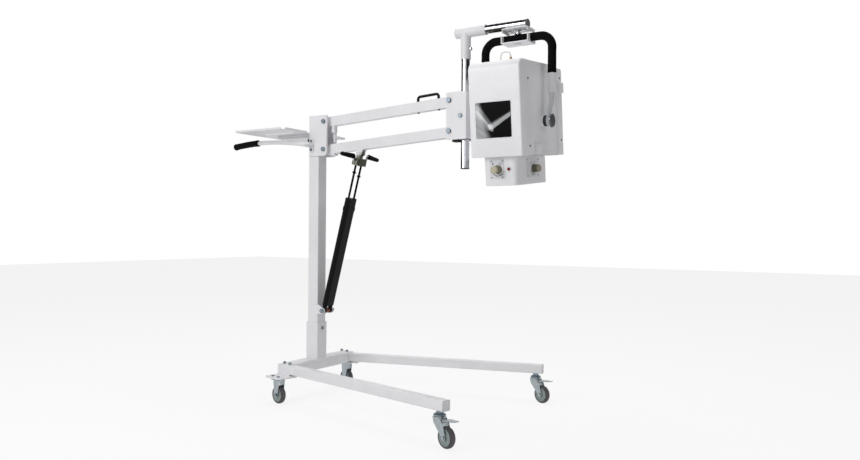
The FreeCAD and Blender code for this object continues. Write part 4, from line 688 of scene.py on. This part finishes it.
class MACHINE_OT_knob_plates(Operator):
    """Print the opening scales round the two blade knobs"""

    bl_idname = "machine.knob_plates"
    bl_label = "Knob plates"

    def execute(self, context):
        colours, sizes = machine_settings(context)
        self.scales(colours, sizes)
        self.window(sizes)
        return {"FINISHED"}

    def scales(self, colours, sizes):
        """A ring, tick marks, and a closed and an open field mark on each of the two plates."""
        plate_front, plate_side = -0.150, 0.060
        band_radius, tick_radius, tick_count = 0.0245, 0.0275, 24
        shut_side, open_side, mark_height = -0.021, 0.012, 0.0235
        finish = Finish("printed_plate", coat=0.1)
        x, y, z = head_axes(finish, sizes)
        front = (y < plate_front) * (x < plate_side)
        ink = None
        plates = ((front, x, -0.008, -0.184), (1.0 - front, y, -0.025, -0.186))
        for plate, across, middle, height in plates:
            side = across - middle
            rise = z - height
            reach = (side * side + rise * rise).root()
            line = abs(reach - band_radius).below(0.0012, 0.0003) * (rise < -0.002) * (side < 0.019)
            turn = finish.maths("ARCTAN2", rise, side) * (tick_count / (2 * math.pi))
            tick = abs(finish.maths("FRACT", turn + 0.5) - 0.5).below(0.08, 0.02)
            scale = tick * (abs(reach - tick_radius) < 0.0016) * (rise < 0.004)
            level = abs(rise - mark_height)
            shut = (abs(side - shut_side) < 0.0022) * (level < 0.0042)
            opened = (abs(side - open_side) < 0.0048) * (level < 0.0042)
            hollow = (abs(side - open_side) < 0.0038) * (level < 0.0032)
            marks = plate * (line + scale + shut + opened - hollow).clamp()
            ink = marks if ink is None else ink + marks
        cloud = finish.noise(0.02, 4.0)
        edge = finish.edges(sizes.bevel)
        sheet = finish.blend(cloud, paint(222, 223, 226), paint(236, 237, 240))
        sheet = finish.blend(edge * 0.5, sheet, paint(150, 152, 156))
        finish.colour(finish.blend(ink, sheet, colours.ink))
        finish.roughness(0.38 + cloud * 0.10 + ink * 0.12)
        finish.bump(finish.noise(0.0007, 2.0) + ink * 0.3, 0.05, 0.0004)
        put_on(finish, "knob_plates")

    def window(self, sizes):
        """Clear plastic with the two fine lines that mark the middle of the beam."""
        cross_y, line_edge, line_blur = -0.030, 0.00055, 0.00015
        finish = Finish("window_plastic")
        x, y, _ = head_axes(finish, sizes)
        lines = abs(x).below(line_edge, line_blur) + abs(y - cross_y).below(line_edge, line_blur)
        smear = finish.noise(0.03, 4.0)
        clear = finish.blend(smear, paint(214, 222, 226), paint(232, 238, 240))
        finish.colour(finish.blend(lines.clamp(), clear, paint(30, 30, 32)))
        finish.roughness(0.08 + smear * 0.10)
        finish.shader.inputs["Transmission Weight"].default_value = 0.55
        finish.bump(smear, 0.03, 0.0005)
        put_on(finish, "beam_window")


class MACHINE_OT_picture(Operator):
    """Print a plain joint radiograph on the head's picture panel"""

    bl_idname = "machine.picture"
    bl_label = "Picture panel"

    def execute(self, context):
        sizes = machine_settings(context)[1]
        panel_left, panel_foot = -0.082, -0.061
        panel_width, panel_height = 0.150, 0.137
        finish = Finish("radiograph_print", specular=0.05)
        x, _, z = head_axes(finish, sizes)
        across = (x - panel_left) / panel_width
        height = (z - panel_foot) / panel_height
        drift = (finish.noise(0.02, 3.0) - 0.5) * 0.05

        def bone(start, end, thin, thick):
            """Distance from a tapering bar, in its own widths: 0 on its axis and 1 at its edge."""
            run = (end[0] - start[0], end[1] - start[1])
            square = run[0] ** 2 + run[1] ** 2
            share = (((across - start[0]) * run[0] + (height - start[1]) * run[1]) / square).clamp()
            side = across - start[0] - share * run[0]
            rise = height - start[1] - share * run[1]
            return ((side * side + rise * rise).root() + drift * 0.35) / (thin + share * (thick - thin))

        trunk = bone((-0.05, 0.95), (0.08, -0.10), 0.19, 0.34).ramp(1.20, 0.45) * 0.46
        thigh = bone((0.02, 0.78), (0.40, 0.32), 0.17, 0.10).ramp(1.15, 0.60) * 0.20
        shin = bone((0.40, 0.30), (1.05, 0.68), 0.10, 0.055).ramp(1.15, 0.55) * 0.22
        picture = trunk + thigh + shin
        femur = bone((0.04, 0.76), (0.37, 0.34), 0.038, 0.030)
        tibia = bone((0.42, 0.30), (1.05, 0.68), 0.040, 0.024)
        fibula = bone((0.47, 0.26), (0.98, 0.58), 0.016, 0.010)
        kneecap = bone((0.40, 0.33), (0.46, 0.22), 0.052, 0.040)
        for reach in (femur, tibia, fibula, kneecap):
            wall = abs(reach - 0.80).ramp(0.32, 0.05) * 0.34
            picture = picture + reach.ramp(1.08, 0.75) * 0.26 + wall
        ribs = (finish.maths("SINE", (height * 5.0 + across * 3.2) * 6.0) * 0.5 + 0.5) * 0.07
        picture = picture + trunk * ribs * 3.0 + (finish.noise(0.0012, 3.0) - 0.5) * 0.03
        picture = picture.clamp()
        tone = finish.blend(picture, paint(5, 5, 6), paint(240, 242, 244))
        rim = (abs(across - 0.5).ramp(0.488, 0.494) + abs(height - 0.5).ramp(0.488, 0.494)).clamp()
        finish.colour(finish.blend(rim * 0.4, tone, paint(60, 62, 66)))
        finish.roughness(0.30 + finish.noise(0.03, 3.0) * 0.10)
        finish.edges(sizes.bevel)
        finish.bump(finish.noise(0.0008, 2.0), 0.03, 0.0003)
        put_on(finish, "picture_panel")
        return {"FINISHED"}


class MACHINE_OT_foam(Operator):
    """Pull the foam sleeve over the yoke tube"""

    bl_idname = "machine.foam"
    bl_label = "Yoke foam"

    def execute(self, context):
        colours, sizes = machine_settings(context)
        finish = rubbery("yoke_foam_skin", colours.foam, 0.78, 0.0009, 0.30, sizes.bevel)
        half, bend, top = sizes.yoke_half_span, sizes.yoke_bend, sizes.yoke_bar
        rise = top - bend - sizes.foam_low
        quarter = math.pi / 2 * bend
        bar = 2 * (half - bend)
        total = 2 * rise + 2 * quarter + bar
        lip_size, crease_spacing, skin_depth = 0.0022, 0.0075, 0.0004
        steps = 50 * BORE_STRIDE
        stations = []
        for index in range(steps + 1):
            run = total * index / steps
            mirrored = run > total / 2
            half_run = total - run if mirrored else run
            if half_run < rise:
                spot, turn, inside = (-half, sizes.foam_low + half_run), 0.0, 0.0
            elif half_run < rise + quarter:
                turn = (half_run - rise) / bend
                spot = (-half + bend * (1 - math.cos(turn)), top - bend + bend * math.sin(turn))
                inside = math.sin(2 * turn)
            else:
                spot, turn, inside = (-half + bend + half_run - rise - quarter, top), math.pi / 2, 0.0
            sign = -1.0 if mirrored else 1.0
            centre = Vector((sizes.yoke_centre + sign * spot[0], 0.0, spot[1]))
            outward = Vector((-sign * math.cos(turn), 0.0, math.sin(turn)))
            lip = rounded_lip(half_run, lip_size)
            crease = sizes.crease * inside * (0.55 + 0.45 * math.cos(run / crease_spacing * math.pi))
            swell = 0.00018 * math.sin(run / 0.021) + 0.00014 * math.sin(run / 0.0087)

            def radius(angle, lip=lip, crease=crease, swell=swell):
                facing_in = max(0.0, -math.cos(angle)) ** 2
                return sizes.foam_radius - skin_depth - lip - crease * facing_in + swell

            stations.append((centre, outward, Vector((0.0, 1.0, 0.0)), radius))
        foam = sleeve("foam_sleeve", stations, sizes.foam_bore + 0.0003, 44, finish)
        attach(foam, "yoke")
        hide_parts("yoke_foam")
        return {"FINISHED"}


class MACHINE_OT_grip(Operator):
    """Push the soft grip onto the end of the push handle"""

    bl_idname = "machine.grip"
    bl_label = "Push grip"

    def execute(self, context):
        colours, sizes = machine_settings(context)
        finish = rubbery("push_grip_foam", colours.foam, 0.66, 0.0010, 0.30, sizes.bevel)
        rise, bend, sweep = math.radians(9.0), 0.026, 1.5
        heading = Vector((-math.cos(rise), 0.0, math.sin(rise)))
        down = Vector((math.sin(rise), 0.0, math.cos(rise)))
        corner = Vector((-0.006, -0.058, 1.185))
        leave = corner + heading * bend + Vector((0.0, -bend, 0.0))
        hub = leave - down * sweep
        first, last = math.radians(10.4), math.radians(16.5)
        length = sweep * (last - first)
        lip_size, skin_depth = 0.0026, 0.0013
        collar_inset, collar_width, collar_height = 0.006, 0.0035, 0.0012
        finger_start, finger_pitch, finger_depth = 0.018, 0.031, 0.0007
        steps = 28 * BORE_STRIDE
        stations = []
        for index in range(steps + 1):
            share = index / steps
            angle = first + (last - first) * share
            outward = Matrix.Rotation(-angle, 3, "Y") @ down
            run = share * length
            near = min(run, length - run)
            lip = rounded_lip(near, lip_size)
            collar = math.exp(-((near - collar_inset) / collar_width) ** 2) * collar_height
            wave = 0.5 - 0.5 * math.cos(2 * math.pi * (run - finger_start) / finger_pitch)
            fade = min(max((near - 0.014) / 0.01, 0.0), 1.0)
            finger = finger_depth * wave * fade

            def radius(turn, lip=lip, collar=collar, finger=finger):
                under = max(0.0, -math.cos(turn)) ** 2
                return sizes.grip_radius - skin_depth - lip + collar - finger * under

            stations.append((hub + outward * sweep, outward, Vector((0.0, 1.0, 0.0)), radius))
        grip = sleeve("hand_grip", stations, sizes.grip_bore, 44, finish)
        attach(grip, "base")
        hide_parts("push_grip")
        return {"FINISHED"}


class MACHINE_OT_lead(Operator):
    """Loop the captive lead on top of the head and screw in its connector"""

    bl_idname = "machine.lead"
    bl_label = "Captive lead"

    def execute(self, context):
        colours, sizes = machine_settings(context)
        sleeve_finish = coated("lead_sleeve", colours.lead, 0.45, 0.0005, grain=0.0006, peel=0.10)
        start, end, back, low, high = -0.024, 0.020, -0.084, 0.230, 0.254
        shoulder, crown = 0.006, 0.0215
        route = ((start, low), (start, high + shoulder), (start + shoulder, high + crown),
                 (end - shoulder, high + crown), (end, high + shoulder), (end, high))
        curve = bpy.data.curves.new("captive_lead", "CURVE")
        curve.dimensions = "3D"
        curve.bevel_depth = sizes.lead_radius
        curve.bevel_resolution = 8
        curve.resolution_u = 24
        curve.use_fill_caps = True
        spline = curve.splines.new("NURBS")
        spline.points.add(len(route) - 1)
        for point, (x, z) in zip(spline.points, route):
            point.co = (*head_point(sizes, x, back, z), 1.0)
        spline.order_u = 3
        spline.use_endpoint_u = True
        curve.materials.append(sleeve_finish.material)
        lead = bpy.data.objects.new("captive_lead", curve)
        context.scene.collection.objects.link(lead)
        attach(lead, "head")

        brass = plated("brass", colours.brass, 0.28, 0.0004, stain=0.25)
        axis = head_point(sizes, 0, 0, 1) - head_point(sizes, 0, 0, 0)
        outline = ((0.0070, 0.0), (0.0070, 0.0032), (0.0049, 0.0038), (0.0049, 0.0080), (0.0041, 0.0086),
                   (0.0041, 0.0110), (0.0050, 0.0116), (0.0050, 0.0206), (0.0038, 0.0240))
        foot = head_point(sizes, end, back, low)
        plug = turned("lead_connector", outline, foot, axis, 36, brass,
                      flats=6, flat_from=0, flat_to=1)
        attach(plug, "head")
        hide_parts("cord_loop")
        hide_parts("cord_loop")
        head_point(sizes, start, back, low)
        return {"FINISHED"}


def seen_directly(graph):
    """1 for rays from the camera, a mirror or a clear pane, and 0 for those that light the scene."""
    rays = graph.node("ShaderNodeLightPath")
    seen = Signal(graph, rays.outputs["Is Camera Ray"])
    for name in ("Is Glossy Ray", "Is Transmission Ray"):
        seen = seen.most(Signal(graph, rays.outputs[name]))
    return seen


def flat_sheet(name, width, height):
    """A flat rectangle about its own origin, with the graph and the output of its material."""
    side, top = width / 2, height / 2
    corners = [(-side, -top, 0), (side, -top, 0), (side, top, 0), (-side, top, 0)]
    mesh = bpy.data.meshes.new(name)
    mesh.from_pydata(corners, [], [(0, 1, 2, 3)])
    material = bpy.data.materials.new(name + "_sheet")
    material.use_nodes = True
    mesh.materials.append(material)
    sheet = bpy.data.objects.new(name, mesh)
    bpy.context.scene.collection.objects.link(sheet)
    graph = Graph(material.node_tree)
    return sheet, graph, graph.node("ShaderNodeOutputMaterial").inputs["Surface"]


class MACHINE_OT_stage(Operator):
    """Lay the floor, hang the lamps and light the room"""

    bl_idname = "machine.stage"
    bl_label = "Studio"

    def execute(self, context):
        stage = context.scene.machine_stage
        floor_width = 28.0
        white = (1.0, 1.0, 1.0, 1.0)
        floor, graph, surface = flat_sheet("floor", floor_width, floor_width)
        paper = graph.node("ShaderNodeBsdfDiffuse", None, {"Color": opaque(stage.floor)})
        glow = graph.node("ShaderNodeEmission", None, {"Color": white, "Strength": 1.0})
        sockets = {0: seen_directly(graph) * 0.85, 1: paper.outputs[0], 2: glow.outputs[0]}
        graph.feed(surface, graph.node("ShaderNodeMixShader", None, sockets).outputs[0])

        world = bpy.data.worlds.new("studio")
        world.use_nodes = True
        context.scene.world = world
        graph = Graph(world.node_tree)
        room = graph.node("ShaderNodeBackground", None, {"Color": white, "Strength": stage.ambient})
        backdrop = graph.node("ShaderNodeBackground", None, {"Color": white, "Strength": 1.0})
        sockets = {0: seen_directly(graph), 1: room.outputs[0], 2: backdrop.outputs[0]}
        mixed = graph.node("ShaderNodeMixShader", None, sockets)
        graph.node("ShaderNodeOutputWorld", None, {"Surface": mixed.outputs[0]})

        dark, olive = paint(30, 30, 33), paint(62, 62, 52)
        cards = (("left_card", (-1.90, -0.90, 1.80), (0.80, -0.20, 1.60), 3.4, 1.9, dark),
                 ("right_card", (2.75, -0.75, 1.80), (0.80, 0.00, 1.60), 2.4, 1.9, dark),
                 ("back_card", (2.60, 1.30, 1.80), (0.80, 0.00, 1.60), 2.4, 1.9, olive),
                 ("upper_card", (0.90, -0.90, 3.00), (0.90, -0.80, 1.00), 3.6, 3.2, dark),
                 ("under_card", (1.10, -0.50, 0.95), (1.10, -0.45, 2.00), 1.7, 2.6, olive))
        for name, place, target, width, height, colour in cards:
            self.hang_card(name, Vector(place), Vector(target), width, height, colour)

        lamps = (("key_lamp", (-0.9, -4.2, 2.6), 2.6, stage.key_power),
                 ("fill_lamp", (4.6, -0.4, 1.8), 2.2, stage.fill_power),
                 ("top_lamp", (0.4, 0.4, 4.4), 3.0, stage.top_power))
        for name, place, size, power in lamps:
            self.hang_lamp(name, Vector(place), Vector((0.55, 0.0, 0.95)), size, power)
        return {"FINISHED"}

    def hang_card(self, name, place, aim, width, height, colour):
        """Hang a dark card that only reflections see, so that bright metal has something to mirror."""
        card, graph, surface = flat_sheet(name, width, height)
        felt = graph.node("ShaderNodeBsdfDiffuse", None, {"Color": opaque(colour)})
        graph.feed(surface, felt.outputs[0])
        card.location = place
        card.rotation_euler = (aim - place).to_track_quat("Z", "Y").to_euler()
        card.visible_camera = False
        card.visible_diffuse = False
        card.visible_shadow = False
        card.visible_transmission = False

    def hang_lamp(self, name, place, aim, size, power):
        """Hang a square lamp that the camera doesn't see."""
        data = bpy.data.lights.new(name, "AREA")
        data.shape = "SQUARE"
        data.size = size
        data.energy = power
        lamp = bpy.data.objects.new(name, data)
        lamp.location = place
        lamp.rotation_euler = (aim - place).to_track_quat("-Z", "Y").to_euler()
        lamp.visible_camera = False
        bpy.context.scene.collection.objects.link(lamp)


class MACHINE_OT_camera(Operator):
    """Stand the camera where it looks at the machine from the right and in front"""

    bl_idname = "machine.camera"
    bl_label = "Camera"

    def execute(self, context):
        stage = context.scene.machine_stage
        heading, pitch, roll = stage.camera_turn
        flat = math.cos(pitch)
        forward = Vector((-math.sin(heading) * flat, math.cos(heading) * flat, math.sin(pitch)))
        level = forward.cross(Vector((0.0, 0.0, 1.0))).normalized()
        above = level.cross(forward)
        right = level * math.cos(roll) + above * math.sin(roll)
        up = above * math.cos(roll) - level * math.sin(roll)
        data = bpy.data.cameras.new("camera")
        data.sensor_fit = "HORIZONTAL"
        data.sensor_width = 36.0
        data.lens = stage.lens
        data.clip_start = 0.05
        data.clip_end = 60.0
        camera = bpy.data.objects.new("camera", data)
        turn = Matrix((right, up, -forward)).transposed()
        camera.matrix_world = Matrix.Translation(stage.camera_place) @ turn.to_4x4()
        context.scene.collection.objects.link(camera)
        context.scene.camera = camera
        context.scene.view_settings.view_transform = "Standard"
        return {"FINISHED"}


OPERATORS = (MACHINE_OT_camera, MACHINE_OT_stage, MACHINE_OT_lead, MACHINE_OT_foam, MACHINE_OT_grip,
             MACHINE_OT_stand, MACHINE_OT_head, MACHINE_OT_metal, MACHINE_OT_wheels, MACHINE_OT_plastics,
             MACHINE_OT_knob_plates, MACHINE_OT_picture)


class MACHINE_PT_panel(Panel):
    """Sizes, colours and steps of the x-ray machine"""

    bl_idname = "MACHINE_PT_panel"
    bl_label = "X-Ray Machine"
    bl_space_type = "VIEW_3D"
    bl_region_type = "UI"
    bl_category = "X-Ray Machine"

    def draw(self, context):
        for group in (*machine_settings(context), context.scene.machine_stage):
            box = self.layout.box()
            for name in group.__annotations__:
                box.prop(group, name)
        for operator in OPERATORS:
            self.layout.operator(operator.bl_idname)


GROUPS = {"machine_colours": MachineColours, "machine_sizes": MachineSizes, "machine_stage": StageSettings}
CLASSES = (*GROUPS.values(), *OPERATORS, MACHINE_PT_panel)


def register():
    for item in CLASSES:
        bpy.utils.register_class(item)
    for name, group in GROUPS.items():
        setattr(bpy.types.Scene, name, PointerProperty(type=group))


def unregister():
    for name in GROUPS:
        delattr(bpy.types.Scene, name)
    for item in reversed(CLASSES):
        bpy.utils.unregister_class(item)


def main():
    register()
    for operator in OPERATORS:
        step = operator.bl_idname.split(".")[1]
        if getattr(bpy.ops.machine, step)() != {"FINISHED"}:
            raise RuntimeError(operator.bl_label + " did not finish")


if __name__ == "__main__":
    main()
